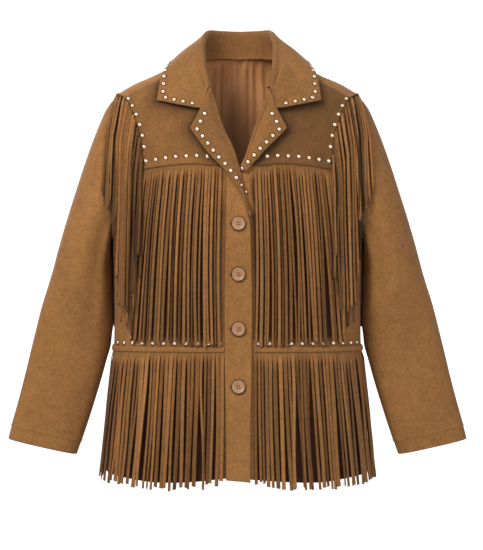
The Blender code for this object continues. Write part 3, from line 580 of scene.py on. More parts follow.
class Wire:
    """Output of a shader node, so that its maths can be written as expressions."""

    def __init__(self, nodes: "Nodes", socket: bpy.types.NodeSocket) -> None:
        """Keep the output and the nodes it belongs to."""
        self.nodes = nodes
        self.socket = socket

    def _maths(self, operation: str, first: object, second: object = 0.0) -> "Wire":
        """Return the result of a Math node."""
        return self.nodes.add("ShaderNodeMath", {"operation": operation}, {0: first, 1: second})

    def __add__(self, other: object) -> "Wire":
        """Add."""
        return self._maths("ADD", self, other)

    __radd__ = __add__

    def __sub__(self, other: object) -> "Wire":
        """Subtract."""
        return self._maths("SUBTRACT", self, other)

    def __rsub__(self, other: object) -> "Wire":
        """Subtract from a value."""
        return self._maths("SUBTRACT", other, self)

    def __mul__(self, other: object) -> "Wire":
        """Multiply."""
        return self._maths("MULTIPLY", self, other)

    __rmul__ = __mul__

    def __pow__(self, other: object) -> "Wire":
        """Raise to a power."""
        return self._maths("POWER", self, other)

    def between(self, low: float, high: float) -> "Wire":
        """Return 0 below low, 1 above high and a soft rise between them."""
        return self.nodes.add("ShaderNodeMapRange", {"interpolation_type": "SMOOTHSTEP"},
                              {"Value": self, "From Min": low, "From Max": high})


class Nodes:
    """Shader nodes of one finish."""

    def __init__(self, name: str) -> None:
        """Start a material with its Principled shader."""
        self.material = bpy.data.materials.new(name)
        self.material.use_nodes = True
        self.tree = self.material.node_tree
        self.shader = next(n for n in self.tree.nodes if n.type == "BSDF_PRINCIPLED")

    def add(self, kind: str, settings: Mapping[str, object] | None = None,
            sockets: Mapping[int | str, object] | None = None, output: int | str = 0) -> Wire:
        """Add a node.

        Args:
            kind: The node's type.
            settings: Its settings, set first; "stops" are a ramp's (place, colour) pairs.
            sockets: Values or wires for its inputs.
            output: Which output to return.

        Returns:
            The output.
        """
        node = self.tree.nodes.new(kind)
        for name, value in (settings or {}).items():
            if name == "stops":
                self._set_stops(node.color_ramp, value)
            else:
                setattr(node, name, value)
        for key, value in (sockets or {}).items():
            self.feed(node.inputs[key], value)
        return Wire(self, node.outputs[output])

    @staticmethod
    def _set_stops(ramp: bpy.types.ColorRamp, stops: Sequence[tuple[float, Colour]]) -> None:
        """Give a ramp its stops."""
        while len(ramp.elements) < len(stops):
            ramp.elements.new(0.5)
        for element, (place, colour) in zip(ramp.elements, stops):
            element.position = place
            element.color = (*colour, 1.0)

    def feed(self, socket: bpy.types.NodeSocket, value: object) -> None:
        """Link a wire to a socket, or set its value; a colour gets full alpha."""
        if isinstance(value, Wire):
            self.tree.links.new(value.socket, socket)
        else:
            socket.default_value = (*value, 1.0) if socket.type == "RGBA" else value

    def shade(self, values: Mapping[str, object]) -> None:
        """Feed wires, numbers and colours to the shader's own sockets."""
        for name, value in values.items():
            self.feed(self.shader.inputs[name], value)

    def multiplied(self, first: Wire, second: object) -> Wire:
        """Return one vector or colour times another."""
        return self.add("ShaderNodeVectorMath", {"operation": "MULTIPLY"}, {0: first, 1: second})

    def coordinates(self, stretch: Point | None = None) -> Wire:
        """Return the object's own coordinates in metres, stretched."""
        place = self.add("ShaderNodeTexCoord", output="Object")
        return self.multiplied(place, stretch) if stretch else place

    def noise(self, place: Wire, scale: float, detail: float = 2.0, rough: float = 0.5) -> Wire:
        """Return a noise from 0 to 1; the scale is in spots a metre."""
        return self.add("ShaderNodeTexNoise", {},
                        {"Vector": place, "Scale": scale, "Detail": detail, "Roughness": rough})

    def ramp(self, factor: Wire, stops: Sequence[tuple[float, Colour]]) -> Wire:
        """Return a colour from a ramp."""
        return self.add("ShaderNodeValToRGB", {"stops": stops}, {0: factor})

    def mixed(self, factor: object, first: object, second: object) -> Wire:
        """Return one colour mixed into another."""
        return self.add("ShaderNodeMix", {"data_type": "RGBA"}, {0: factor, 6: first, 7: second}, 2)

    def bump(self, height: Wire, strength: float, distance: float) -> None:
        """Roughen the surface by a height, the distance in metres."""
        values = {"Strength": strength, "Distance": distance, "Height": height}
        self.shade({"Normal": self.add("ShaderNodeBump", {}, values)})


@dataclass(frozen=True)
class Finish:
    """Finish with a name and a main colour."""
    name: str
    colour: Colour

    def material(self) -> Material:
        """Return the finish as a material."""
        nodes = Nodes(self.name)
        self.dress(nodes)
        return nodes.material

    def dress(self, nodes: Nodes) -> None:
        """Wire up the nodes, as each kind of finish does in its own way."""
        raise NotImplementedError

    def lit(self, by: float) -> Colour:
        """Return the colour made lighter or darker."""
        return tuple(min(1.0, c * by) for c in self.colour)


@dataclass(frozen=True)
class SuedeFinish(Finish):
    """Napped leather: soft clouds where the pile is brushed, mottle, fine grain and sheen."""
    colour: Colour = (0.314, 0.140, 0.039)
    warmth: Colour = (1.08, 0.92, 0.86)     # how the mottle's warm spots differ
    cloud: float = 0.40         # how much brushed patches vary
    mottle: float = 0.50
    grain: float = 1.0
    contrast: float = 0.34      # light and dark tones, as shares of the colour
    roughness: float = 0.86
    sheen: float = 0.22
    sheen_pale: float = 0.45    # how far the sheen's colour lies towards white
    relief: float = 0.0007      # metres
    dyed: bool = False          # whether the mesh's attribute gives each part's own tone and painted shade

    def dress(self, nodes: Nodes) -> None:
        """Wire up the nodes."""
        place = nodes.coordinates()
        cloud = nodes.noise(nodes.coordinates((1.0, 1.0, 0.55)), 11, 2)
        mottle = nodes.noise(place, 62, 4, 0.62)
        speckle = nodes.noise(place, 260, 3, 0.7)
        grain = nodes.noise(place, 900, 2, 0.6)
        nap = nodes.noise(nodes.coordinates((1.0, 1.0, 0.2)), 1900, 1)
        tone = (0.5 + self.cloud * (cloud - 0.5) + self.mottle * (mottle - 0.5)
                + self.grain * (speckle - 0.5) + 0.25 * (grain - 0.5))
        colour = nodes.ramp(tone, ((0.22, self.lit(1 - self.contrast)), (0.5, self.colour),
                                   (0.78, self.lit(1 + self.contrast))))
        warm = tuple(c * by for c, by in zip(self.colour, self.warmth))
        colour = nodes.mixed((mottle - 0.42) * 0.5, colour, warm)
        if self.dyed:
            colour = nodes.multiplied(colour, nodes.add("ShaderNodeAttribute", {"attribute_name": TINT}))
        nodes.shade({"Base Color": colour, "Roughness": self.roughness + 0.16 * (speckle - 0.5),
                     "Sheen Weight": self.sheen, "Sheen Roughness": 0.4,
                     "Sheen Tint": tuple(c + self.sheen_pale * (1.0 - c) for c in self.colour),
                     "Specular IOR Level": 0.18})
        nodes.bump(0.5 * speckle + 0.35 * grain + 0.25 * nap + 0.9 * mottle, 0.45, self.relief)


@dataclass(frozen=True)
class RawEdgeFinish(Finish):
    """Cut edge of the leather, where its paler core shows through the dyeing and through wear."""
    name: str = "raw_edge"
    colour: Colour = (0.235, 0.105, 0.034)
    core: Colour = (0.36, 0.19, 0.075)

    def dress(self, nodes: Nodes) -> None:
        """Wire up the nodes."""
        fibre = nodes.noise(nodes.coordinates(), 700, 3, 0.7)
        wear = nodes.noise(nodes.coordinates(), 45, 2)
        colour = nodes.mixed(fibre, self.lit(0.72), self.lit(1.3))
        colour = nodes.mixed(wear.between(0.52, 0.7) * 0.5, colour, self.core)
        nodes.shade({"Base Color": colour, "Roughness": 0.92, "Specular IOR Level": 0.15})
        nodes.bump(fibre, 0.5, 0.0003)


@dataclass(frozen=True)
class LiningFinish(Finish):
    """Smooth twill lining with a low gloss."""
    name: str = "lining"
    # painted light: far brighter than the cloth's own colour, to stand in for light reaching inside the
    # neck
    colour: Colour = (0.66, 0.295, 0.112)

    def dress(self, nodes: Nodes) -> None:
        """Wire up the nodes."""
        place = nodes.coordinates()
        slub = nodes.noise(nodes.coordinates((1.0, 1.0, 0.05)), 420, 2)
        cloud = nodes.noise(place, 16, 2)
        twill = nodes.add("ShaderNodeTexWave", {"bands_direction": "DIAGONAL"},
                          {"Vector": place, "Scale": 380.0, "Distortion": 0.6, "Detail": 1.0}, 1)
        tone = 0.5 + 0.4 * (slub - 0.5) + 0.6 * (cloud - 0.5) + 0.06 * (twill - 0.5)
        nodes.shade({"Base Color": nodes.ramp(tone, ((0.2, self.lit(0.8)), (0.8, self.lit(1.2)))),
                     "Roughness": 0.5 + 0.15 * (cloud - 0.5),
                     "Sheen Weight": 0.15, "Sheen Roughness": 0.3, "Specular IOR Level": 0.4})
        nodes.bump(twill * 0.4 + slub * 0.6, 0.3, 0.0002)


@dataclass(frozen=True)
class ButtonFinish(Finish):
    """Tan horn-like button, mottled, with a thin polish."""
    name: str = "button_horn"
    colour: Colour = (0.37, 0.185, 0.078)

    def dress(self, nodes: Nodes) -> None:
        """Wire up the nodes."""
        swirl = nodes.noise(nodes.coordinates((1.0, 1.0, 0.4)), 190, 3, 0.6)
        fleck = nodes.noise(nodes.coordinates(), 900, 2)
        tone = 0.5 + 0.8 * (swirl - 0.5) + 0.2 * (fleck - 0.5)
        colour = nodes.ramp(tone, ((0.25, self.lit(0.72)), (0.5, self.colour), (0.8, self.lit(1.25))))
        nodes.shade({"Base Color": colour, "Roughness": 0.42 + 0.2 * (fleck - 0.5),
                     "Coat Weight": 0.25, "Coat Roughness": 0.25, "Specular IOR Level": 0.5})
        nodes.bump(fleck, 0.12, 0.0002)


@dataclass(frozen=True)
class MetalFinish(Finish):
    """Polished stud metal, or dark metal that stands for painted shade, with fine handling marks."""
    roughness: float = 0.22

    def dress(self, nodes: Nodes) -> None:
        """Wire up the nodes."""
        haze = nodes.noise(nodes.coordinates(), 260, 2)
        nodes.shade({"Base Color": nodes.mixed(haze, self.lit(0.86), self.lit(1.06)),
                     "Roughness": self.roughness + 0.12 * (haze - 0.4), "Metallic": 1.0})
        nodes.bump(haze, 0.05, 0.0002)


@dataclass(frozen=True)
class ThreadFinish(Finish):
    """Twisted sewing thread."""
    roughness: float = 0.7

    def dress(self, nodes: Nodes) -> None:
        """Wire up the nodes."""
        twist = nodes.add("ShaderNodeTexWave", {"bands_direction": "DIAGONAL"},
                          {"Vector": nodes.coordinates(), "Scale": 700.0, "Distortion": 1.0}, 1)
        nodes.shade({"Base Color": nodes.mixed(twist, self.lit(0.7), self.lit(1.2)),
                     "Roughness": self.roughness, "Specular IOR Level": 0.3})
        nodes.bump(twist, 0.4, 0.0002)


@dataclass(frozen=True)
class StudioFinish(Finish):
    """Plain pale paper of the floor and the surround."""
    glow: float = 0.0

    def dress(self, nodes: Nodes) -> None:
        """Wire up the nodes."""
        nodes.shade({"Base Color": self.colour, "Roughness": 0.9,
                     "Emission Color": self.colour, "Emission Strength": self.glow})


# Tint of each kind of strand against the suede: red, green and blue
STRAND_TINTS = ((1.0, 1.0, 1.0), (1.0, 0.90, 0.86), (0.93, 0.92, 0.90), (1.09, 1.11, 1.18),
                (0.78, 0.74, 0.70), (0.92, 0.90, 0.92), (1.06, 1.0, 0.95))


@dataclass(frozen=True)
class Finishes:
    """Every finish of the jacket, made once and shared by its pieces."""
    suede: Material = field(default_factory=SuedeFinish("suede").material)
    edge: Material = field(default_factory=RawEdgeFinish().material)
    lining: Material = field(default_factory=LiningFinish().material)
    button: Material = field(default_factory=ButtonFinish().material)
    dome: Material = field(
        default_factory=MetalFinish("stud_dome", (0.53, 0.405, 0.305)).material)
    # painted shade: the stud's ring is dark and matte to stand in for the shadowed dip round each dome
    flange: Material = field(
        default_factory=MetalFinish("stud_flange", (0.10, 0.055, 0.03), 0.6).material)
    thread: Material = field(
        default_factory=ThreadFinish("thread_tan", (0.21, 0.10, 0.036)).material)
    dark_thread: Material = field(
        default_factory=ThreadFinish("thread_dark", (0.045, 0.02, 0.010)).material)
    dyed: Material = field(
        default_factory=SuedeFinish("strand", sheen=0.16, dyed=True).material)

    @property
    def leather(self) -> tuple[Material, Material]:
        """Return suede that follows a piece's own tone and painted shade, and its cut edge."""
        return self.dyed, self.edge


# ---------- lines shared by the pieces

ARMHOLE = {
    Face.FRONT: ((204, -65), (197, -67), (186, -73), (175.5, -92), (168, -110), (162, -129),
                 (159, -146), (156.5, -163), (155, -179), (155, -191), (158, -222), (172, -250),
                 (194, -270)),
    Face.BACK: ((204, -65), (196, -73), (186, -88), (176, -110), (169, -135), (166, -160),
                (165, -179), (165, -191), (168, -222), (178, -250), (195, -270)),
}
TIP_Z = -65.0
SHOULDER_SEAM = ((76, -14), (123, -39.3), (186, -73))
YOKE_CORNER_Z = -191.0
YOKE_LINE = {
    Face.FRONT: ((155, -191), (105, -184.5), (63, -183), (31, -186)),
    Face.BACK: ((165, -191), (110, -186), (60, -184), (0, -184)),
}
NECK_BACK = ((75.5, 0), (73, -0.5), (66, 3), (52, 6.5), (30, 8), (0, 8))
# Roll lines, towards the wearer's own side of the middle
ROLL = {
    Hand.RIGHT: ((45.5, -61), (37.5, -91), (24.4, -129), (15.2, -147.5), (1.0, -188), (-5.8, -216),
                 (-13, -241.5), (-19.5, -266)),
    Hand.LEFT: ((51.5, -63), (44.5, -91), (35, -113.5), (23.4, -147.5), (14.7, -173.6), (8.9, -195)),
}
YOKE_NECK_FRONT = ((76, -14.3), (75.5, -36), (69, -58))
YOKE_NECK_FOOT = {Hand.RIGHT: (4.5, -184), Hand.LEFT: (14.5, -184)}
FRONT_MEET_X = -16.0
FRONT_EDGE = {
    Hand.RIGHT: ((16.0, -186.3), (16.0, -270)),
    Hand.LEFT: ((7.5, -184.3), (3.9, -195), (-4, -215), (-12, -242), (FRONT_MEET_X + 0.3, -270)),
}


@dataclass(frozen=True)
class Block:
    """The jacket's block: the body's form and the lines drawn on it."""
    form: BodyForm = field(default_factory=BodyForm)

    def arm_line(self, face: Face, z_from: float, z_to: float, count: int) -> Array:
        """Return places along the left armhole between two heights."""
        under = (float(self.form.seam_x(UNDERARM_Z, face)), UNDERARM_Z)
        dense = self.form.trace([*ARMHOLE[face], under], face, 400)
        heights = self.form.point(dense)[:, 2]
        order = np.arange(len(dense), dtype=float)
        ends = np.interp((-z_from, -z_to), -heights, order)
        return resampled(dense, np.linspace(*ends, count + 1), order)

    def on_hand(self, places: Array, hand: Hand) -> Array:
        """Return left-side places on one side of the body."""
        return places * np.array((hand.value, 1))

    def front_line(self, line: Pairs, hand: Hand, count: int, smooth: bool = True) -> Array:
        """Return places along a line drawn on one side of the front."""
        return self.form.trace(mirrored(line, hand), Face.FRONT, count, smooth)


@dataclass(frozen=True)
class Cut:
    """Flat size of a cut piece in metres, and its area where it isn't a rectangle."""
    width: float
    length: float
    area: float | None = None


class Held(Enum):
    """How a sheet is held."""
    DRAPED = "draped"
    HUNG = "hung"


# ---------- studs and stitches

class Seat(NamedTuple):
    """Points on a surface and the outward normals there."""
    points: Array
    normals: Array


def seat_on(tree: BVHTree, line: Array, face: Face) -> Seat:
    """Drop a line of (x, z) points on a surface, seen from the front or back.

    Args:
        tree: The surface, in millimetres.
        line: Points to drop.
        face: Side that they are dropped from.

    Returns:
        Where they landed; points that miss are left out.
    """
    points, normals = [], []
    for x, z in line:
        start, way = Vector((x, face.value * FAR, z)), Vector((0, -face.value, 0))
        hit, normal, _, _ = tree.ray_cast(start, way)
        if hit is not None:
            points.append(hit)
            normals.append(normal if normal.y * face.value > 0 else -normal)
    return Seat(np.array(points), np.array(normals))


def spaced(seat: Seat, pitch: float, inset: float = 0.0) -> Seat:
    """Return evenly spaced places along a seated line, near a pitch.

    Args:
        seat: Line to divide.
        pitch: Distance between places, fitted to the length.
        inset: How far from both ends the first and last places are.

    Returns:
        The places.
    """
    run = run_of(seat.points)
    count = max(1, round((run[-1] - 2 * inset) / pitch))
    stops = np.linspace(inset, run[-1] - inset, count + 1)
    return Seat(resampled(seat.points, stops, run), unit(resampled(seat.normals, stops, run)))


def offset_line(line: Pairs, by: float) -> Array:
    """Return an (x, z) line moved aside, to the left of its way where the step is positive."""
    pts = np.array(line, float)
    way = unit(np.diff(pts, axis=0))
    aside = np.stack((-way[:, 1], way[:, 0]), axis=-1)
    moved = [pts[0] + by * aside[0]]
    for k in range(1, len(pts) - 1):
        middle = unit(aside[k - 1] + aside[k])
        moved.append(pts[k] + by * middle / max(0.5, float(middle @ aside[k])))
    moved.append(pts[-1] + by * aside[-1])
    return np.array(moved)


def dense_line(line: Pairs, step: float = 1.0) -> Array:
    """Return a line of straight steps with a point every so often."""
    points = np.asarray(line, float)
    run = run_of(points)
    return resampled(points, np.linspace(0, run[-1], max(2, int(run[-1] / step))), run)


def frames(seat: Seat) -> tuple[Array, Array]:
    """Return two unit vectors across each normal, the first along the line."""
    along = np.gradient(seat.points, axis=0) if len(seat.points) > 1 else np.array([[1.0, 0, 0]])
    side = unit(np.cross(seat.normals, along))
    return unit(np.cross(side, seat.normals)), side


@dataclass(frozen=True)
class Stud:
    """Domed stud in a flat ring, pressed into the leather."""
    dome_radius: float = 3.25
    dome_height: float = 2.3
    # wide, so that the ring's dark finish, painted shade, shows round the dome
    ring_radius: float = 4.6
    ring_height: float = 0.6
    dome_foot: float = 0.45     # height at which the dome leaves the ring
    sunk: float = 0.5
    around: int = 18

    def profile(self) -> tuple[Array, int]:
        """Return (radius, height) from the ring's foot up, and the number where the dome starts."""
        wide, low, foot = self.ring_radius, self.ring_height, self.dome_foot
        ring = [(wide, -self.sunk), (wide, 0.5 * low), (wide - 0.25, low),
                (self.dome_radius + 0.2, low), (self.dome_radius, foot)]
        dome = [(self.dome_radius * math.cos(a), foot + (self.dome_height - foot) * math.sin(a))
                for a in np.radians((6, 22, 40, 60, 80))]
        return np.array(ring + dome), len(ring)

    def set_at(self, work: Stitchwork, seat: Seat) -> None:
        """Add a stud at each place; the ring has finish 1 and the dome finish 0."""
        profile, dome_from = self.profile()
        first, second = frames(seat)
        turn = round_turn(self.around)[None, :, None]
        spoke = np.cos(turn) * first[:, None] + np.sin(turn) * second[:, None]
        points = (seat.points[:, None, None] + profile[None, :, None, :1] * spoke[:, None]
                  + profile[None, :, None, 1:] * seat.normals[:, None, None])
        top = seat.points + self.dome_height * seat.normals
        quads, first_dome = grid_quads(len(profile), self.around, closed=True), dome_from * self.around
        peak_fan = fan(len(profile), self.around)
        for body, peak in zip(points, top):
            whole = np.concatenate((body.reshape(-1, 3), peak[None]))
            work.add(whole, (quads[:first_dome], 1), (quads[first_dome:], 0), (peak_fan, 0))


@dataclass(frozen=True)
class StitchRow:
    """Row of short thread stitches sunk a little into the leather."""
    length: float = 2.3
    gap: float = 1.2
    radius: float = 0.34
    around: int = 6

    def sew(self, work: Stitchwork, seat: Seat, finish: int = 0) -> None:
        """Add stitches along a seated line."""
        places = spaced(seat, self.length + self.gap, 0.5 * (self.length + self.gap))
        along, side = frames(places)
        stops = np.array((-0.5, -0.42, 0.0, 0.42, 0.5)) * self.length
        sizes = np.array((0.25, 0.8, 1.0, 0.8, 0.25)) * self.radius
        arch = np.array((-0.2, 0.25, 0.5, 0.25, -0.2)) * self.radius
        turn = round_turn(self.around)[:, None, None]
        spoke = np.cos(turn) * side + np.sin(turn) * places.normals
        points = (places.points + stops[:, None, None, None] * along
                  + arch[:, None, None, None] * places.normals
                  + sizes[:, None, None, None] * spoke[None])
        quads, caps = grid_quads(len(stops), self.around, closed=True), end_caps(len(stops), self.around)
        for k in range(len(places.points)):
            work.add(points[:, :, k], (quads, finish), (caps, finish))


# ---------- body panels

@dataclass
class Panels:
    """Fronts, back, yokes and neck lining."""
    block: Block
    finishes: Finishes
    stud: Stud = Stud()
    stud_pitch: float = 18.6
    yoke_stud_rise: float = 11.5    # above the yoke line
    arm_stud_inset: float = 4.2     # inside the armhole seam
    arm_stud_span: tuple[float, float] = (-183.0, -70.0)
    neck_inset: float = 2.4         # how far a yoke's neck edge lies behind the lapel's roll
    lip: float = 3.5                # how far a yoke's edge stands out over the fringe
    lip_flat: float = 3.6
    lip_height: float = 11.0
    lip_drop: float = 3.5
    arm_lip: float = 2.4
    groove: float = 0.55            # where the yoke is sewn down over the fringe
    groove_height: float = 12.0
    groove_width: float = 1.3
    shade: Colour = (0.15, 0.09, 0.06)      # tint of the leather behind the fringe, out of the light
    front_cuts: dict[Hand, Cut] = by_hand(Cut(0.262, 0.512, 0.120), Cut(0.290, 0.512, 0.137))
    back_cut: Cut = Cut(0.545, 0.512, 0.260)
    front_yoke_cut: Cut = Cut(0.190, 0.190, 0.0228)
    back_yoke_cut: Cut = Cut(0.470, 0.245, 0.093)
    lining_cut: Cut = Cut(0.300, 0.320, 0.082)
    # painted shade: both front yokes darker than the suede, the wearer's left one much more, as in the
    # collar's shadow
    nap: dict[Hand, float] = by_hand(0.81, 0.575)
    trees: dict[str, BVHTree] = field(default_factory=dict)

    def _piece(self, name: str, shell: Shell, finish: Material, tint: Array | None = None) -> Piece:
        """Make one suede panel, in one of the two suedes, and keep a search tree over it."""
        self.trees[name] = shell.tree()
        return shell.piece(f"{name}_cloth", (finish, self.finishes.edge), "suede", name, tint)

    def _side_line(self, face: Face) -> list[tuple[float, float]]:
        """Return the (x, z) line of the left side seam, from under the arm to the hem."""
        heights = np.linspace(UNDERARM_Z, HEM_LINE[-1][1], 9)
        return [(float(self.block.form.seam_x(z, face)), z) for z in heights]

    def _lipped(self, places: Array, arm_columns: Sequence[int]) -> Array:
        """Return how far a yoke stands out along its lower edge and its armholes."""
        points = self.block.form.point(places)
        above = points[..., 2] - points[-1, :, 2][None, :]
        lift = self.lip * (1 - smooth_step(above, self.lip_flat, self.lip_height))
        lift -= self.groove * np.exp(-((above - self.groove_height) / self.groove_width) ** 2)
        for column in arm_columns:
            away = np.linalg.norm(points - points[:, column][:, None], axis=2)
            near_top = smooth_step(points[..., 2], -188.0, -176.0)
            lift = np.maximum(lift, near_top * self.arm_lip * (1 - smooth_step(away, 1.5, 8.0)))
        return lift

    def _napped(self, grid: Array, hand: Hand) -> Array:
        """Return a front yoke's painted shade: darker all over, with painted shadow beside lapel and
        collar and along the armhole.
        """
        at = grid[..., ::2] * np.array((hand.value, 1))
        over = dense_line(COLLAR_OUTLINE + LAPEL_OUTER[hand], 2.0)
        away = np.linalg.norm(at[:, :, None] - over[None, None], axis=3).min(axis=2)
        shade = 1 - 0.74 * np.exp(-(away / 14.0) ** 1.2)
        seam = np.interp(at[..., 1], *np.array(ARMHOLE[Face.FRONT][1:])[::-1, ::-1].T)
        shade = shade * (1 - 0.25 * np.exp(-np.clip(seam - at[..., 0], 0, None) / 12.0))
        return (self.nap[hand] * shade)[..., None] * np.array((1.0, 0.97, 0.93))

    def _shaded(self, grid: Array) -> Array:
        """Return the tint of a front or back: dark where the fringe hangs over it."""
        x, z = np.abs(grid[..., 0]), grid[..., 2]
        drop = np.clip((-191 - z) / 290, 0, 1)
        inner = smooth_step(x, 20, 27) if grid[0, 0, 1] < 0 else np.ones_like(x)
        outer = 1 - smooth_step(x, 148 + 18 * drop, 158 + 18 * drop)
        chest = smooth_step(-z, 196, 214) * (1 - smooth_step(-z, 466, 480)) * inner * outer
        waist = smooth_step(-z, 490, 500) * inner
        edge = np.interp(z, (-470, -420, -330, -200), (178, 189, 200, 214))
        arm = smooth_step(x, 146, 156) * (1 - smooth_step(x, edge - 8, edge + 2))
        arm = arm * smooth_step(-z, 190, 204) * (1 - smooth_step(-z, 425, 458))
        dark = np.maximum(np.maximum(chest, waist), 0.7 * arm)[..., None]
        return 1 + (np.array(self.shade) - 1) * dark

    def front_yoke(self, hand: Hand) -> Piece:
        """Front yoke, from the forward shoulder seam to the studded yoke line."""
        block, foot = self.block, YOKE_NECK_FOOT[hand]
        roll = [(x + self.neck_inset, z) for x, z in ROLL[hand]]
        turn = (roll[0][0] + 3, roll[0][1] - 14)
        seam = shifted(SHOULDER_SEAM, -SEAM_GAP)
        line = shifted(YOKE_LINE[Face.FRONT], SEAM_GAP - self.lip_drop)
        foot = (foot[0], foot[1] - 1.0)
        along_roll = [p for p in roll if foot[1] + 5 < p[1] < turn[1] - 5]
        neck = joined(block.front_line([*YOKE_NECK_FRONT, turn], hand, 16),
                      block.front_line([turn, *along_roll, foot], hand, 34))
        low_corner = YOKE_CORNER_Z + SEAM_GAP - self.lip_drop
        arm = block.on_hand(block.arm_line(Face.FRONT, seam[-1][1], low_corner, 50), hand)
        hem = block.front_line([foot] + line[::-1], hand, 40)
        places = patch(block.front_line(seam, hand, 40), hem, neck, arm)
        grid = block.form.laid(places, self._lipped(places, (-1,)))
        return self._piece(f"front_yoke_{hand.label}", Shell(grid, SUEDE, -hand.value),
                           self.finishes.dyed, self._napped(grid, hand))

    def front(self, hand: Hand) -> Piece:
        """Front, from under the yoke to the hem; the left one has the straight underlap."""
        block, up = self.block, FRONT_EDGE[hand]
        down = [up[-1], (up[-1][0], HEM_LINE[0][1])]
        side = self._side_line(Face.FRONT)
        top = block.front_line([up[0], *YOKE_LINE[Face.FRONT][::-1]], hand, 42)
        arm = block.on_hand(block.arm_line(Face.FRONT, YOKE_CORNER_Z, UNDERARM_Z, 22), hand)
        outer = joined(arm, block.front_line(side, hand, 76))
        inner = joined(block.front_line(up, hand, 22), block.front_line(down, hand, 76, smooth=False))
        hem = block.front_line([down[-1], *HEM_LINE[1:-1], side[-1]], hand, 42)
        grid = block.form.laid(patch(top, hem, inner, outer))
        return self._piece(f"front_{hand.label}", Shell(grid, SUEDE, -hand.value),
                           self.finishes.dyed, self._shaded(grid))

    def back(self) -> Piece:
        """Back, in one piece from under the yoke to the hem."""
        form, side = self.block.form, self._side_line(Face.BACK)
        top = halves(form.trace(shifted(YOKE_LINE[Face.BACK], -SEAM_GAP), Face.BACK, 44))
        hem = halves(form.trace([side[-1], *HEM_LINE[-2:0:-1], (0, -702)], Face.BACK, 44))
        edge = joined(self.block.arm_line(Face.BACK, YOKE_CORNER_Z - SEAM_GAP, UNDERARM_Z, 20),
                      form.trace(side, Face.BACK, 76))
        grid = form.laid(patch(top, hem, edge * np.array((-1, 1)), edge))
        return self._piece("back", Shell(grid, SUEDE, 1), self.finishes.dyed, self._shaded(grid))

    def back_yoke(self) -> Piece:
        """Back yoke, from the forward shoulder seams over the shoulders to the back yoke line."""
        form = self.block.form
        side_neck = (75.5, float(form.ridge_line(75.5)))
        half_top = joined(form.trace(SHOULDER_SEAM[::-1], Face.FRONT, 7),
                          form.trace([SHOULDER_SEAM[0], (77, -6), side_neck], Face.FRONT, 1),
                          form.trace([side_neck, *NECK_BACK[1:]], Face.BACK, 5))
        edge = joined(self.block.arm_line(Face.FRONT, TIP_Z, SHOULDER_SEAM[-1][1], 3)[::-1],
                      self.block.arm_line(Face.BACK, TIP_Z, YOKE_CORNER_Z - self.lip_drop, 7))
        line = shifted(YOKE_LINE[Face.BACK], -self.lip_drop)
        hem = form.trace(line, Face.BACK, len(half_top) - 1)
        coarse = patch(halves(half_top), halves(hem), edge * np.array((-1, 1)), edge)
        places = finer(relaxed(coarse, 14), 76, 150)
        grid = form.laid(places, self._lipped(places, (0, -1)))
        return self._piece("back_yoke", Shell(grid, SUEDE, 1), self.finishes.suede)

    def lining(self) -> Piece:
        """Neck lining inside the back, gathered along the neck seam."""
        form = self.block.form
        edge = form.trace([(66, 1), (110, -55), (134, -110), (140, -200), (140, -300)], Face.BACK, 90)
        top = form.trace([(66, 1), (40, 6), (0, 6)], Face.BACK, 60)
        hem = form.trace([(140, -300), (0, -300)], Face.BACK, 60, smooth=False)
        places = patch(halves(top), halves(hem), edge * np.array((-1, 1)), edge)
        u = form.point(places)[..., 0] / 64.0
        w = np.linspace(0, 1, places.shape[0])[:, None]
        gathers = ((-0.84, 1.4, 0.08), (-0.6, 2.2, 0.07), (-0.36, 2.6, 0.08), (-0.08, 1.9, 0.09),
                   (0.2, 2.6, 0.08), (0.42, 2.0, 0.06), (0.66, 2.6, 0.08), (0.9, 1.4, 0.07))
        depth = np.zeros((places.shape[0], places.shape[1]))
        for middle, height, width in gathers:
            sway = middle + 0.02 * np.sin(5 * w + 9 * middle)
            spread = width * (0.9 + 1.1 * w)
            fade = np.exp(-((w - 0.2) / 0.5) ** 2) * (0.35 + 0.65 * smooth_step(w, 0.0, 0.07))
            depth += 1.6 * height * fade * np.exp(-((u - sway) / spread) ** 2)
        grid = form.laid(places, -(LINING + 2.2) - depth)
        twill = self.finishes.lining
        return Shell(grid, LINING, 1).piece("neck_lining_cloth", (twill, twill), "lining", "neck_lining")

    def studs(self, name: str, seats: Sequence[Seat]) -> Piece:
        """Make one piece of all the studs along some seated lines."""
        work = Stitchwork(name)
        for seat in seats:
            self.stud.set_at(work, seat)
        return work.make((self.finishes.dome, self.finishes.flange), "suede")

    def _over_yoke_line(self, face: Face) -> list[tuple[float, float]]:
        """Return the left half of the line of studs over a yoke line."""
        line = shifted(YOKE_LINE[face], self.yoke_stud_rise)
        return [(line[0][0] - self.arm_stud_inset, line[0][1]), *line[1:]]

    def _yoke_row(self, tree: BVHTree, line: Pairs, face: Face) -> Seat:
        """Return the places of the studs over a yoke line."""
        return spaced(seat_on(tree, dense_line(line), face), self.stud_pitch, 0.5)

    def _arm_row(self, tree: BVHTree, face: Face, hand: Hand) -> Seat:
        """Return the places of the studs down one side's armhole."""
        low, high = self.arm_stud_span
        arm = offset_line([p for p in ARMHOLE[face] if low < p[1] < high], -self.arm_stud_inset)
        row = spaced(seat_on(tree, dense_line(mirrored(arm, hand)), face), self.stud_pitch, 4.0)
        return Seat(row.points[:-1], row.normals[:-1])

    def yoke_studs(self) -> list[Piece]:
        """Set the studs along the yoke lines and the armholes."""
        made = []
        for hand in Hand:
            tree = self.trees[f"front_yoke_{hand.label}"]
            row = self._yoke_row(tree, mirrored(self._over_yoke_line(Face.FRONT), hand), Face.FRONT)
            made.append(self.studs(f"studs_front_yoke_{hand.label}",
                                   [row, self._arm_row(tree, Face.FRONT, hand)]))
        tree, half = self.trees["back_yoke"], self._over_yoke_line(Face.BACK)
        row = self._yoke_row(tree, mirrored(half, Hand.RIGHT) + half[-2::-1], Face.BACK)
        made.append(self.studs("studs_back_yoke",
                               [row] + [self._arm_row(tree, Face.BACK, hand) for hand in Hand]))
        return made

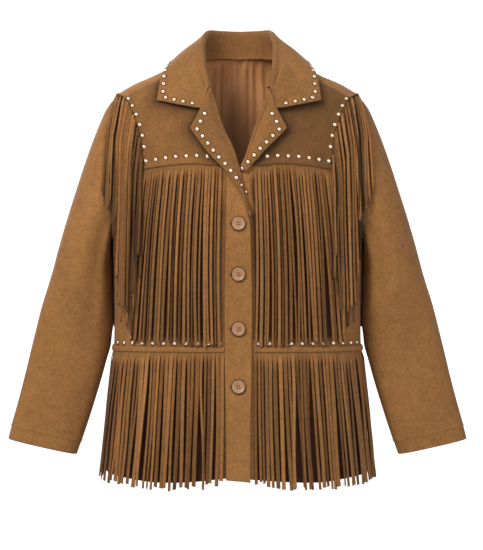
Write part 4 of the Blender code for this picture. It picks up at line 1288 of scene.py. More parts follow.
    def build(self) -> None:
        """Build and dress the panels."""
        lining, back_yoke, back = self.lining(), self.back_yoke(), self.back()
        yokes = {hand: self.front_yoke(hand) for hand in Hand}
        fronts = {hand: self.front(hand) for hand in Hand}
        studs = self.yoke_studs()


class SleeveRow(NamedTuple):
    """One section of the sleeve, from its outer edge to its inner one."""
    outer_x: float
    outer_z: float
    inner_x: float
    inner_z: float
    depth: float
    bow: float
    power: float
    fold: float


SLEEVE_ROWS = tuple(SleeveRow(*row) for row in (
    (219, -83, 216, -294, 73, 35, 2.0, 0),
    (232, -110, 215.5, -308, 71, 24, 2.05, 2),
    (250.5, -158, 212.8, -326, 69, 12, 2.1, 5),
    (266, -205, 211.8, -348, 67, 5, 2.15, 7),
    (283, -258, 210.8, -375, 65, 1, 2.2, 7),
    (299, -312, 210.5, -405, 62, 0, 2.25, 6),
    (316, -375, 210.6, -440, 55, 0, 2.3, 5),
    (337, -446, 215.5, -482, 42, 0, 2.4, 3),
    (351, -503, 225.5, -526, 34, 0, 2.5, 2),
    (365, -560, 243, -585, 29, 0, 2.6, 0),
    (379, -610, 259, -634, 26, 0, 2.6, 0),
    (387.5, -642.5, 271, -669, 25, 0, 2.6, 0),
))


@dataclass(frozen=True)
class SleeveCrease:
    """Soft fold on a sleeve, at an angle round it and a place down its rows."""
    angle: float        # degrees, 0 at the outer edge and 90 at the front
    row: float
    height: float
    wide: float         # degrees
    tall: float         # rows
    slant: float = 0.0  # degrees for each row


SLEEVE_CREASES = (
    SleeveCrease(62, 3.2, 1.4, 20, 2.2, 4),
    SleeveCrease(84, 4.6, -1.6, 13, 2.0, 3),
    SleeveCrease(130, 2.4, -1.5, 15, 1.1, -9),
    SleeveCrease(140, 3.6, 1.3, 14, 1.0, -8),
    SleeveCrease(72, 7.3, 1.4, 22, 0.8, 12),
    SleeveCrease(104, 7.9, -1.5, 17, 0.6, 14),
    SleeveCrease(60, 8.9, -0.9, 24, 0.6, -10),
    SleeveCrease(122, 9.2, 1.0, 20, 0.8, 6),
    SleeveCrease(20, 6.6, -1.2, 20, 0.5, 10),
    SleeveCrease(-34, 6.9, 1.2, 20, 0.8, 8),
    SleeveCrease(-62, 4.4, -2.0, 15, 2.0, -4),
    SleeveCrease(-92, 3.6, 1.6, 20, 2.2, -3),
    SleeveCrease(-120, 6.4, -2.2, 15, 0.9, 12),
    SleeveCrease(-96, 7.0, 1.8, 17, 0.7, 10),
    SleeveCrease(-74, 7.8, -1.6, 17, 0.7, -12),
    SleeveCrease(176, 6.2, -1.6, 26, 0.45),
    SleeveCrease(186, 7.1, -1.8, 24, 0.4),
)


@dataclass
class Sleeves:
    """Sleeves, set into the armholes and hanging just clear of the body."""
    block: Block
    panels: Panels
    finishes: Finishes
    around: int = 156
    along: int = 190
    hem: float = 24.5           # stitched this far above the cuff
    groove: float = 1.0
    fold_angle: float = math.radians(112)
    fold_spread: float = math.radians(17)
    middle: Point = (207.0, 0.0, -171.0)    # of the armhole
    half_height: float = 106.0
    half_depth: float = 74.0
    cut: Cut = Cut(0.500, 0.610, 0.190)

    def clear(self, angles: Array) -> Array:
        """Return how far the sleeve starts outside the armhole, most under the arm."""
        return 1.0 + 3.6 * ((1 - np.cos(angles)) / 2) ** 1.1

    def armhole(self, angles: Array) -> tuple[Array, Array]:
        """Return the left armhole's points and the body's normals at angles round it, 0 on top."""
        angles, form, loops = np.mod(angles, math.tau), self.block.form, []
        for face in Face:
            under = (float(form.seam_x(UNDERARM_Z, Face.FRONT)), UNDERARM_Z)
            places = form.trace([*ARMHOLE[face], under], face, 300)
            dense = form.laid(places)
            turned = np.arctan2(np.abs(dense[:, 1]) / self.half_depth,
                                (dense[:, 2] - self.middle[2]) / self.half_height)
            near = angles if face is Face.FRONT else math.tau - angles
            loops.append(resampled(np.concatenate((dense, form.normal(places)), axis=1), near,
                                   np.maximum.accumulate(turned)))
        both = np.where((angles <= math.pi)[:, None], *loops)
        return both[:, :3], unit(both[:, 3:])

    def start(self, angles: Array) -> Array:
        """Return where the left sleeve starts, at angles round it."""
        points = self.armhole(angles)[0]
        points[:, 0] += self.clear(angles)
        return points

    def tucked(self, angles: Array) -> Array:
        """Return two rows of seam allowance that lie inside the body, behind the armhole's edge."""
        points, normals = self.armhole(angles)
        away = points - np.array(self.middle)
        inward = unit(away - np.sum(away * normals, axis=1, keepdims=True) * normals)
        return np.stack((points + 6.0 * inward - 2.9 * normals, points + 0.8 * inward - 2.5 * normals))

    def section(self, numbers: Array, angles: Array) -> Array:
        """Return the points of one section, 0 at the outer edge and 90 degrees at the front."""
        outer_x, outer_z, inner_x, inner_z, depth, bow, power, fold = numbers
        middle = 0.5 * np.array((outer_x + inner_x, 0, outer_z + inner_z))
        reach = 0.5 * np.array((outer_x - inner_x, 0, outer_z - inner_z))
        c, s = np.cos(angles), np.sin(angles)
        round_c = np.copysign(np.abs(c) ** (2 / power), c)
        round_s = np.copysign(np.abs(s) ** (2 / power), s)
        trough = fold * np.exp(-((angles - self.fold_angle) / self.fold_spread) ** 2)
        y = -(depth * round_s - trough * np.maximum(0.0, s))
        return middle + reach * round_c[:, None] + np.stack((-bow * s * s, y, 0 * s), axis=-1)

    def grid(self, hand: Hand) -> Array:
        """Return the inner surface, rows from the armhole to the cuff, closed round itself."""
        angles = np.arange(self.around) * math.tau / self.around
        rows = Curve(np.arange(len(SLEEVE_ROWS)), SLEEVE_ROWS)
        stops = np.linspace(0, len(SLEEVE_ROWS) - 1, 14)
        coarse = np.array([self.start(angles)] + [self.section(rows(p), angles) for p in stops])
        index = np.linspace(0, len(coarse) - 1, self.along)
        fine = Curve(np.arange(len(coarse)), coarse.reshape(len(coarse), -1))(index)
        fine = fine.reshape(self.along, self.around, 3)
        out = -grid_normals(fine, closed=True)
        row_of = (index - 1) * stops[1]
        rise = np.zeros(fine.shape[:2])
        for crease in SLEEVE_CREASES:
            middle = crease.angle + crease.slant * (row_of - crease.row)
            away = (np.degrees(angles)[None] - middle[:, None] + 180) % 360 - 180
            down = (row_of[:, None] - crease.row) / crease.tall
            rise += crease.height * np.exp(-(away / crease.wide) ** 2 - down ** 2)
        left = np.linalg.norm(fine - fine[-1][None], axis=2)
        rise -= self.groove * np.exp(-((left - self.hem) / 1.3) ** 2)
        rise += 0.45 * (1 - smooth_step(left, self.hem - 3, self.hem - 0.4))
        rise *= smooth_step(index, 0.0, 1.6)[:, None]
        whole = np.concatenate((self.tucked(angles), fine + rise[..., None] * out))
        return whole * np.array((hand.value, 1, 1))

    def frame(self, angles: Array, hand: Hand) -> tuple[Array, Array, Array]:
        """Return the sleeve's start points, ways down the sleeve and outward normals."""
        start = self.start(angles)
        first = self.section(np.array(SLEEVE_ROWS[0]), np.mod(angles, math.tau))
        down = unit(first - start)
        across = self.start(angles + 0.04) - self.start(angles - 0.04)
        normal = unit(np.cross(down, across))
        away = start - np.array(self.middle)
        normal *= np.sign(np.sum(normal * away, axis=1))[:, None]
        turn = np.array((hand.value, 1, 1))
        return start * turn, down * turn, normal * turn

    def shaded(self, grid: Array) -> Array:
        """Return the sleeve's tint: dark where the armhole fringe hangs over it."""
        x, z = np.abs(grid[..., 0]), grid[..., 2]
        edge = np.interp(z, (-340, -300, -250, -235, -80, -60), (192, 197, 205, 213, 213, 206))
        dark = (1 - smooth_step(x, edge - 6, edge + 3)) * smooth_step(z, -330, -310)
        return 1 + (np.array(self.panels.shade) * 1.2 - 1) * dark[..., None]

    def build(self) -> None:
        """Build both sleeves with their hem stitches."""
        for hand in Hand:
            name, grid = f"sleeve_{hand.label}", self.grid(hand)
            shell = Shell(grid, SUEDE, -hand.value, closed=True)
            self.panels.trees[name] = shell.tree()
            sleeve = shell.piece(f"{name}_cloth", self.finishes.leather, "suede", name,
                                 self.shaded(grid))
            left = np.linalg.norm(shell.outer - shell.outer[-1][None], axis=2)
            at_hem = (np.argmin(np.abs(left - self.hem), axis=0), np.arange(self.around))
            ring = shell.outer[at_hem]
            ring_normals = (grid_normals(shell.outer, closed=True) * -hand.value)[at_hem]
            hem = Stitchwork(f"stitches_cuff_{hand.label}")
            StitchRow().sew(hem, Seat(*(np.concatenate((row, row[:1])) for row in (ring, ring_normals))))
            stitches = hem.make((self.finishes.dark_thread,), "suede")


# ---------- collar, lapels, placket and buttons

@dataclass(frozen=True)
class CollarRow:
    """One place round half the collar: neck seam, fold and outer edge."""
    neck: Point
    fold: Point
    edge: tuple[float, float]
    face: Face
    lift: float


COLLAR_ROWS = (
    CollarRow((0, 62.5, 10), (0, 68, 54), (0, -16), Face.BACK, 6),
    CollarRow((33, 51.5, 10), (31, 60, 54), (50, -20), Face.BACK, 6),
    CollarRow((57, 28, 6), (53, 38, 52), (92, -24), Face.BACK, 6),
    CollarRow((71.5, 2, 0.5), (60, 5, 38), (114, -20.2), Face.BACK, 6),
    CollarRow((71.5, -29, -7), (61.5, -24, 14), (124, -38), Face.FRONT, 6),
    CollarRow((69, -64, -37), (59, -58, -17), (129, -58), Face.FRONT, 5),
)
COLLAR_OUTLINE = ((121, -40), (129, -58), (133, -82), (95, -90), (57.2, -94.8))
LAPEL_OUTER = {
    Hand.RIGHT: ((57.5, -94.5), (76, -128), (38, -178.5), (28, -188), (8, -213), (-9.7, -238.5),
                 (-17.5, -258), (-20.5, -272)),
    Hand.LEFT: ((61.0, -94.5), (80, -128), (70, -138.6), (36, -173.6), (29, -182), (13.0, -199)),
}
LAPEL_LIFT = {Hand.RIGHT: (5.2, 9.6, 10.8, 10.6, 9.6), Hand.LEFT: (5.0, 9.2, 10.2, 10.0, 9.0)}


@dataclass
class Collar:
    """Folded collar: a stand up from the neck seam and a wide pointed fall."""
    block: Block
    panels: Panels
    finishes: Finishes
    neck_end: Point = (50.5, -82, -68)
    fold_end: Point = (49.5, -88, -58)
    tuck: tuple[float, float] = (4.6, 7.0)  # how far the stand's foot laps inside the neck, and down
    settle: float = 2.0                     # how far the fold sinks
    aside: float = 3.0                      # it sits a little to the wearer's left
    notch_root: tuple[float, float] = (57.2, -94.8)
    tip: tuple[float, float] = (133, -82)
    rest: float = 2.6           # least height of the fall over the yokes
    turn: float = 3.2           # half the width of the roll at the fold
    turn_drop: float = 3.0
    belly: float = 6.0          # how far the middle of the fall stands out
    rise: float = 3.0
    rows: int = 171
    columns: int = 60
    fall_from: int = 26         # column from which the fall is kept off the yokes
    near: float = 30.0          # how far off a yoke is looked for
    stud_inset: float = 8.3
    stud_pitch: float = 15.8
    studs_from: float = 61.5    # how far from the middle the studs of its front edges start
    cut: Cut = Cut(0.520, 0.155, 0.062)

    def profile(self, row: CollarRow) -> Array:
        """Return the points across the collar: up the stand, over the fold and down the fall."""
        form = self.block.form
        place = form.places(*(np.array(v, float) for v in row.edge), row.face)
        edge = form.laid(place, LAID_ON + row.lift)
        neck, fold = np.array(row.neck, float), np.array(row.fold, float)
        out = unit(np.array((edge[0] - neck[0], edge[1] - neck[1], 0.0)))
        up = np.array((0.0, 0.0, 1.0))
        fold = fold - self.settle * up
        foot = neck - self.tuck[0] * out - self.tuck[1] * up
        inner = fold - self.turn * out - self.turn_drop * up
        outer = fold + self.turn * out - self.turn_drop * up
        low = outer + 2.4 * out + 0.05 * (edge - outer)
        middle = 0.5 * (low + edge) + self.belly * out + self.rise * up
        fall = [(1 - t) ** 2 * low + 2 * t * (1 - t) * middle + t * t * edge for t in (0.35, 0.7, 1.0)]
        return np.array([foot, neck, 0.5 * (neck + inner), inner, fold, outer] + fall)

    def grid(self) -> Array:
        """Return the collar's inner surface, rows along the neck and columns out to the edge."""
        form = self.block.form

        def on_front(x: float, z: float, lift: float) -> Array:
            """Return the point at a lift over the front yoke."""
            return form.laid(form.places(np.array(x), np.array(z), Face.FRONT), LAID_ON + lift)

        neck, fold = np.array(self.neck_end, float), np.array(self.fold_end, float)
        end = np.array([neck + np.array((-2.0, 2.0, -4.0)), neck, 0.5 * (neck + fold),
                        fold + np.array((-1.5, 1.0, -1.0)), fold,
                        fold + np.array((2.0, -3.5, -5.0)), on_front(*self.notch_root, 6.0),
                        on_front(95, -90, 6.5), on_front(*self.tip, 4.5)])
        half = np.array([self.profile(row) for row in COLLAR_ROWS] + [end])
        whole = np.concatenate((half[:0:-1] * np.array((-1, 1, 1)), half))
        fine = finer(whole, self.rows, self.columns)
        return self.clear(fine + np.array((self.aside, 0, 0)))

    def clear(self, grid: Array) -> Array:
        """Move the fall out wherever it would lie in a yoke."""
        trees = [self.panels.trees[n] for n in ("front_yoke_right", "front_yoke_left", "back_yoke")]
        moved = grid.copy()
        for i, j in np.ndindex(grid.shape[0], grid.shape[1] - self.fall_from):
            x, y, z = grid[i, j + self.fall_from]
            point, inside = Vector((x, y, z)), Vector((0.5 * x, 0.0, z - 60.0))
            seat, normal, _, away = min((t.find_nearest(point) for t in trees), key=lambda hit: hit[3])
            normal = normal if normal.dot(point - inside) > 0 else -normal
            height = (point - seat).dot(normal)
            if height < self.rest and away < self.near:
                moved[i, j + self.fall_from] += np.array(normal) * (self.rest - height)
        return moved

    def build(self) -> None:
        """Build the collar, its studs and the stitches of its neck seam."""
        grid = self.grid()
        stand = 1 - smooth_step(np.arange(grid.shape[1]), 0.30 * grid.shape[1], 0.42 * grid.shape[1])
        # painted shade: the whole collar a little darker than the suede, the stand inside the neck
        # darker still
        nap = np.broadcast_to((0.87 - 0.17 * stand)[None, :, None], grid.shape)
        shell = Shell(grid, SUEDE, -1)
        collar = shell.piece("collar_cloth", self.finishes.leather, "suede", "collar", nap)
        outer, normals = shell.outer, -grid_normals(shell.outer)
        studs = self.panels.studs("studs_collar", [self.stud_seat(outer, normals)])
        seam = Stitchwork("stitches_neck")
        StitchRow(length=2.6, gap=1.6).sew(seam, Seat(shell.inner[6:-6, 2], -normals[6:-6, 2]))
        stitches = seam.make((self.finishes.dark_thread,), "suede")

    def stud_seat(self, outer: Array, normals: Array) -> Seat:
        """Return evenly spaced places a little inside the fall's front and outer edges."""
        rows, columns = outer.shape[:2]
        along, across = (np.linalg.norm(np.diff(outer, axis=axis), axis=2) for axis in (0, 1))
        left = np.pad(np.cumsum(across[:, ::-1], axis=1)[:, ::-1], ((0, 0), (0, 1)))
        from_first = np.pad(np.cumsum(along, axis=0), ((1, 0), (0, 0)))
        from_last = from_first[-1][None] - from_first

        def column_at(row: float) -> float:
            """Return the column where a row is the studs' inset short of the outer edge."""
            lefts = resampled(left, np.array([row]), np.arange(rows))[0]
            return float(np.interp(self.stud_inset, lefts[::-1], np.arange(columns)[::-1]))

        def row_at(column: float, run: Array) -> float:
            """Return the row where a column is the studs' inset along a run from one end."""
            runs = resampled(run.T, np.array([column]), np.arange(columns))[0]
            way = 1 if runs[0] < runs[-1] else -1
            return float(np.interp(self.stud_inset, runs[::way], np.arange(rows)[::way]))

        first = int(np.argmax(np.abs(outer[0, :, 0]) > self.studs_from))
        corner = row_at(column_at(0.0), from_first)
        last = row_at(column_at(rows - 1.0), from_last)
        path = [(row_at(c, from_first), c) for c in np.linspace(first, column_at(corner), 40)[:-1]]
        path += [(row, column_at(row)) for row in np.linspace(corner, last, 260)]
        path += [(row_at(c, from_last), c) for c in np.linspace(column_at(last), first, 40)[1:]]
        points, found = (np.array([bilinear(grid, *p) for p in path]) for grid in (outer, normals))
        return spaced(Seat(points, unit(found)), self.stud_pitch, 6.0)


def bilinear(grid: Array, row: float, column: float) -> Array:
    """Return a grid's value between its rows and columns."""
    i = min(int(row), grid.shape[0] - 2)
    j = min(int(column), grid.shape[1] - 2)
    u, w = column - j, row - i
    return ((1 - w) * ((1 - u) * grid[i, j] + u * grid[i, j + 1])
            + w * ((1 - u) * grid[i + 1, j] + u * grid[i + 1, j + 1]))


@dataclass(frozen=True)
class Button:
    """Turned button with a raised rim, four dished holes and a stitch of thread in each."""
    profile: Pairs = ((0.0, 0.0), (8.2, 0.0), (9.8, 0.35), (10.8, 1.2), (11.0, 2.0), (10.8, 2.9),
                      (10.2, 3.5), (9.4, 3.65), (8.6, 3.45), (7.9, 2.95), (7.2, 2.7), (5.0, 2.55),
                      (3.9, 2.5))
    middle: tuple[float, ...] = (3.9, 3.3, 2.7, 2.1, 1.5, 0.9, 0.3)     # radii of its inner rings
    around: int = 48
    lift: float = 0.4               # how far its foot stands off the cloth
    hole_reach: float = 2.0         # of each hole from the button's two middle lines
    hole_size: float = 1.0
    hole_depth: float = 1.3
    knot: StitchRow = StitchRow(length=1.3, gap=0.0, radius=0.85, around=8)

    def build(self, name: str, seat: Seat, finishes: Finishes) -> None:
        """Build the button on its seat."""
        normal, foot = seat.normals[0], seat.points[0] + self.lift * seat.normals[0]
        side = unit(np.cross(normal, np.array((0, 0, 1.0))))
        up = unit(np.cross(side, normal))
        turn = round_turn(self.around)[:, None]
        spoke = np.cos(turn) * side + np.sin(turn) * up
        profile, work = np.array(self.profile), Stitchwork(f"{name}_horn")
        work.add(foot + profile[:, :1, None] * spoke[None] + profile[:, 1:, None] * normal,
                 (grid_quads(len(profile), self.around, closed=True), 0))
        height = profile[-1, 1] * normal
        rings = foot + np.array(self.middle)[:, None, None] * spoke[None] + height
        x, y = (rings - foot) @ side, (rings - foot) @ up
        depth = np.zeros(x.shape)
        corners = [(a, b) for a in (-self.hole_reach, self.hole_reach)
                   for b in (-self.hole_reach, self.hole_reach)]
        for a, b in corners:
            near = ((x - a) ** 2 + (y - b) ** 2) / self.hole_size ** 2
            depth += self.hole_depth * np.exp(-near ** 2)
        rings = rings - depth[..., None] * normal
        work.add(np.concatenate((rings.reshape(-1, 3), (foot + height)[None])),
                 (grid_quads(len(rings), self.around, closed=True), 0),
                 (fan(len(rings), self.around), 0))
        for a, b in corners:
            ends = [foot + height + a * side + (b + way * 0.66) * up for way in (-1, 1)]
            self.knot.sew(work, Seat(np.array(ends), np.array([normal, normal])), 1)
        work.make((finishes.button, finishes.dark_thread), "button", (name,))


@dataclass
class Facings:
    """Lapels, placket and buttons of the front opening."""
    block: Block
    panels: Panels
    finishes: Finishes
    roll_reach: float = 0.8         # from a lapel's inner edge to where it rolls under
    roll_radius: float = 2.3
    roll_turns: tuple[float, ...] = (-62, -36, -10, 16, 42, 68)     # degrees, round its roll
    # painted shade: both lapels darker than the suede, the wearer's right one more
    nap: dict[Hand, float] = by_hand(0.775, 0.86)
    roll_shift: dict[Hand, float] = by_hand(-1.4, 0.5)
    stud_inset: float = 8.0
    stud_pitch: float = 15.3
    stud_start: float = 4.5         # from the lapel's top to its first stud
    # from the gorge to under the collar, at the roll and at the outer edge
    tuck: dict[Hand, Pairs] = by_hand(((4.4, 13.0), (-4.5, 9.5)), ((1.2, 13.0), (-4.5, 9.5)))
    placket_top: float = -186.5
    placket_free: Pairs = ((0.2, -186.5), (6.4, -212), (12.5, -240), (17.5, -266), (21.5, -283))
    placket_right: float = -18.5
    placket_foot: tuple[float, float] = (-701.0, -705.0)
    button: Button = Button()
    button_x: float = 2.0
    button_z: tuple[float, ...] = (-283.0, -365.5, -455.0, -549.5)
    lapel_cuts: dict[Hand, Cut] = by_hand(Cut(0.082, 0.240, 0.0082), Cut(0.080, 0.150, 0.0055))
    placket_cut: Cut = Cut(0.042, 0.525, 0.0215)

    def lapel_grid(self, hand: Hand) -> Array:
        """Return a lapel's inner surface: rolled over the front's edge, lying on yoke and front."""
        form, outer_line = self.block.form, LAPEL_OUTER[hand]
        roll = [(x + self.roll_shift[hand], z - 5.5) for x, z in ROLL[hand]]
        if hand is Hand.LEFT:
            roll = roll[:-1] + [(10.0, -190), (10.8, -197)]
        ends = [(x + dx, z + dz) for (x, z), (dx, dz) in zip((roll[0], outer_line[0]), self.tuck[hand])]
        line = self.block.front_line
        top = line(ends, hand, 22, smooth=False)
        inner = line([ends[0], *roll], hand, 94)
        outer = joined(line([ends[1], outer_line[0]], hand, 8, smooth=False),
                       line(outer_line[:2], hand, 20, smooth=False), line(outer_line[1:], hand, 66))
        hem = line([roll[-1], outer_line[-1]], hand, 22, smooth=False)
        places = patch(top, hem, inner, outer)
        u = np.linspace(0, 1, places.shape[1])
        lifts = np.broadcast_to(Curve(np.linspace(0, 1, 5), LAPEL_LIFT[hand])(u)[None, :],
                                places.shape[:2])
        run = run_of(form.point(places[:, 0]))
        tucked = 1 - smooth_step(run, 2.0, 15.0)[:, None]
        settled = smooth_step(run, 0.72 * run[-1], run[-1])[:, None]
        lifts = lifts + tucked * (2.3 - lifts) + settled * np.minimum(0.0, 6.2 - lifts) * 0.8
        flat = form.laid(places, lifts)
        normals = form.normal(places[:, :1])[:, 0]
        away = unit(flat[:, 0] - flat[:, 1])
        away = unit(away - np.sum(away * normals, axis=1, keepdims=True) * normals)
        under = []
        for turn in np.radians(self.roll_turns):
            reach = self.roll_reach + self.roll_radius * math.cos(turn)
            drop = self.roll_radius * (1 - math.sin(turn))
            under.append(flat[:, 0] + reach * away - drop * normals)
        under.append(flat[:, 0] + 0.5 * self.roll_reach * away)
        grown = smooth_step(run, 3.0, 34.0)[:, None]
        under = [flat[:, 0] + (0.25 * (len(under) - k)) * (1 - grown) * away + grown * (row - flat[:, 0])
                 for k, row in enumerate(under)]
        return np.concatenate((np.stack(under, axis=1), flat), axis=1)

    def lapel(self, hand: Hand) -> None:
        """Build one lapel with its studs."""
        grid = self.lapel_grid(hand)
        name, shell = f"lapel_{hand.label}", Shell(grid, FACING, -hand.value)
        lapel = shell.piece(f"{name}_cloth", self.finishes.leather, "suede", name,
                            np.full(grid.shape, self.nap[hand]))
        inset = offset_line(mirrored(LAPEL_OUTER[hand], hand), -hand.value * self.stud_inset)
        seat = seat_on(shell.tree(), dense_line(inset), Face.FRONT)
        keep = run_of(seat.points) > self.stud_start
        seats = spaced(Seat(seat.points[keep], seat.normals[keep]), self.stud_pitch, 0.5)
        studs = self.panels.studs(f"studs_{name}", [seats])

    def placket(self) -> BVHTree:
        """Button placket on the right front, lapped over the left front."""
        form, right = self.block.form, self.placket_right
        top_corner, straight = (right, self.placket_top), (right, self.placket_free[-1][1])
        right_corner = (right, self.placket_foot[0])
        left_corner = (self.placket_free[-1][0], self.placket_foot[1])
        top = form.trace([top_corner, self.placket_free[0]], Face.FRONT, 24, smooth=False)
        right_edge = joined(form.trace([top_corner, straight], Face.FRONT, 50, False),
                            form.trace([straight, right_corner], Face.FRONT, 220, False))
        left_edge = joined(form.trace(self.placket_free, Face.FRONT, 50),
                           form.trace([self.placket_free[-1], left_corner], Face.FRONT, 220, False))
        hem = form.trace([right_corner, left_corner], Face.FRONT, 24, False)
        places = patch(top, hem, right_edge, left_edge)
        z = form.point(places)[..., 2]
        u = np.linspace(0, 1, places.shape[1])[None]
        lift = LAID_ON + 0.5 * np.sin(z / 43.0 + 1.0) * (u - 0.3) + 0.35 * np.sin(z / 19.0)
        lift = np.maximum(lift, LAID_ON - 0.2)
        grid = form.laid(places, lift)
        # painted shadow: a dark ring on the placket round each button
        shade = np.ones(grid.shape[:2])
        for height in self.button_z:
            away = np.hypot(grid[..., 0] - self.button_x, grid[..., 2] - height)
            shade *= 1 - 0.8 * np.exp(-(np.clip(away - 11.0, 0, None) / 2.0) ** 2)
        shell = Shell(grid, FACING, -1)
        placket = shell.piece("placket_cloth", self.finishes.leather, "suede", "placket",
                              1.05 * shade[..., None] * np.ones(3))
        tree = shell.tree()
        sewn = Stitchwork("stitches_placket")
        row = StitchRow()
        for line in (((right + 1.5, -671), (20.5, -672)), ((right + 3, -284), (right + 3, -668))):
            row.sew(sewn, seat_on(tree, dense_line(line), Face.FRONT))
        stitches = sewn.make((self.finishes.thread,), "suede")
        holes = self.buttonholes(tree)
        return tree

    def buttonholes(self, tree: BVHTree) -> Piece:
        """Corded ends of the buttonholes, peeping out beside each button."""
        work = Stitchwork("buttonholes")
        for z in self.button_z:
            line = dense_line([(self.button_x - 14.6, z + 0.3), (self.button_x - 4, z)], 0.9)
            seat = seat_on(tree, line, Face.FRONT)
            StitchRow(length=1.9, gap=-0.9, radius=0.8).sew(work, seat)
        return work.make((self.finishes.dark_thread,), "suede")

    def build(self) -> None:
        """Build the facings and the buttons."""
        for hand in Hand:
            self.lapel(hand)
        tree = self.placket()
        for number, z in enumerate(self.button_z, start=1):
            seat = seat_on(tree, np.array([(self.button_x, z)]), Face.FRONT)
            self.button.build(f"button_{number}", seat, self.finishes)


# ---------- fringe

@dataclass(frozen=True)
class Strap:
    """Cross-section of a flat strand, with softened corners."""
    thickness: float = FRINGE
    bevel: float = 0.3
    shoulder: float = 1.2
    edge_dark: float = 0.55     # painted shade: how much darker the cut edges are, so the gaps between strands look deep

    def add(self, work: Stitchwork, middle: Array, normal: Array, halves_of: tuple[Array, Array],
            tint: Array, turn: Array, free: Array, skew: float = 0.0, cup: float = 0.25) -> None:
        """Add a strand to a mesh.

        Args:
            work: The mesh.
            middle: Middle of the strand at each station, from its root down.
            normal: Outward direction at each station.
            halves_of: Width on either side of the middle at each station.
            tint: Tint at each station.
            turn: Twist about its own length, in radians.
            free: 0 where it is still one with its neighbours, 1 where it is cut free.
            skew: Slant of the cut at its tip, as a share of its width.
            cup: How much the middle stands proud of the edges.
        """
        down = unit(np.gradient(middle, axis=0))
        side = unit(np.cross(down, normal))
        out = np.cross(side, down)
        turn, free = turn[:, None], free[:, None]
        side, out = np.cos(turn) * side + np.sin(turn) * out, np.cos(turn) * out - np.sin(turn) * side
        left, right = (half[:, None] for half in halves_of)
        thick, bevel = 0.5 * self.thickness, 0.02 + self.bevel * free
        shoulder = bevel + 0.7 * self.shoulder
        across = np.concatenate((-left, -left + bevel, -left + shoulder, 0.5 * (right - left),
                                 right - shoulder, right - bevel, right, right - bevel,
                                 0.5 * (right - left), -left + bevel), axis=1)
        rise = np.array((0, 1, 1, 1, 1, 1, 0, -1, -1, -1)) * thick
        rise = rise + free * cup * np.array((0, 0, 0.7, 1, 0.7, 0, 0, 0, 1, 0))
        rise[:, (0, 6)] += (1 - free) * 0.98 * thick
        points = middle[:, None] + across[..., None] * side[:, None] + rise[..., None] * out[:, None]
        for row, share in ((-1, 1.0), (-2, 0.4)):
            points[row] += share * skew * across[row][:, None] * down[row]
        count = points.shape[1]
        quads, caps = grid_quads(len(points), count, closed=True), end_caps(len(points), count)
        # painted shade: the cut sides darker by edge_dark, and the back of the strand at half brightness
        side_shade = 1 - free * np.array((self.edge_dark, 0.5 * self.edge_dark, 0, 0, 0,
                                    0.5 * self.edge_dark, self.edge_dark, 0.5, 0.5, 0.5))
        work.add(points, (quads, 0), (caps[:1], 0), (caps[1:], 1),
                 tint=tint[:, None] * side_shade[..., None])


@dataclass(frozen=True)
class Hang:
    """How a fringe hangs below the line that it is sewn on."""
    uncut: tuple[float, float]  # least height left uncut at the top, and how much it varies
    lift: float                 # how far out its middle lies at the top
    out: float                  # how much further out the tips hang
    uneven: float               # how unlike the strand lengths are
    wander: float               # sideways sway
    layers: float               # how far strands lie over one another
    twist: float                # usual twist at the tips, in radians
    narrowing: float = 0.93     # width at the tips, as a share of the width at the top
    tone: float = 1.0           # how light its strands are


CHEST_HANG = Hang(uncut=(2, 14), lift=2.75, out=3.0, uneven=4.5, wander=1.2, layers=4.8, twist=0.5,
                  narrowing=0.96)
WAIST_HANG = Hang(uncut=(8, 13), lift=2.75, out=5.8, uneven=3.6, wander=1.4, layers=3.6, twist=0.42,
                  narrowing=0.95, tone=0.90)


@dataclass(frozen=True)
class HungStrand:
    """One strand of the armhole fringe: where it hangs and where it ends."""
    x: float
    end_z: float


ARMHOLE_STRANDS = {
    Face.FRONT: tuple(HungStrand(x, z) for x, z in (
        (160, -372), (161.5, -334), (165, -351), (168.5, -424), (172, -398), (175.5, -466), (178, -322),
        (181, -428), (182.5, -452), (188, -420), (188, -288), (191.6, -444), (195, -417), (197, -404),
        (199, -372), (196, -319), (203, -340), (206, -306), (201, -277), (207, -264), (211, -247),
        (217, -252), (214, -259), (221, -237), (219, -246), (224, -228))),
    Face.BACK: tuple(HungStrand(x, z) for x, z in (
        (222, -238), (217, -256), (213, -270), (212.5, -452), (210.5, -455), (216.2, -414), (208, -296),
        (209, -454), (206, -330), (205, -438), (202, -372), (200, -408), (196, -438), (193, -416),
        (190, -444), (187, -402), (185, -378), (182, -428), (180, -346), (176, -392), (174, -440),
        (171, -366), (169, -340))),
}


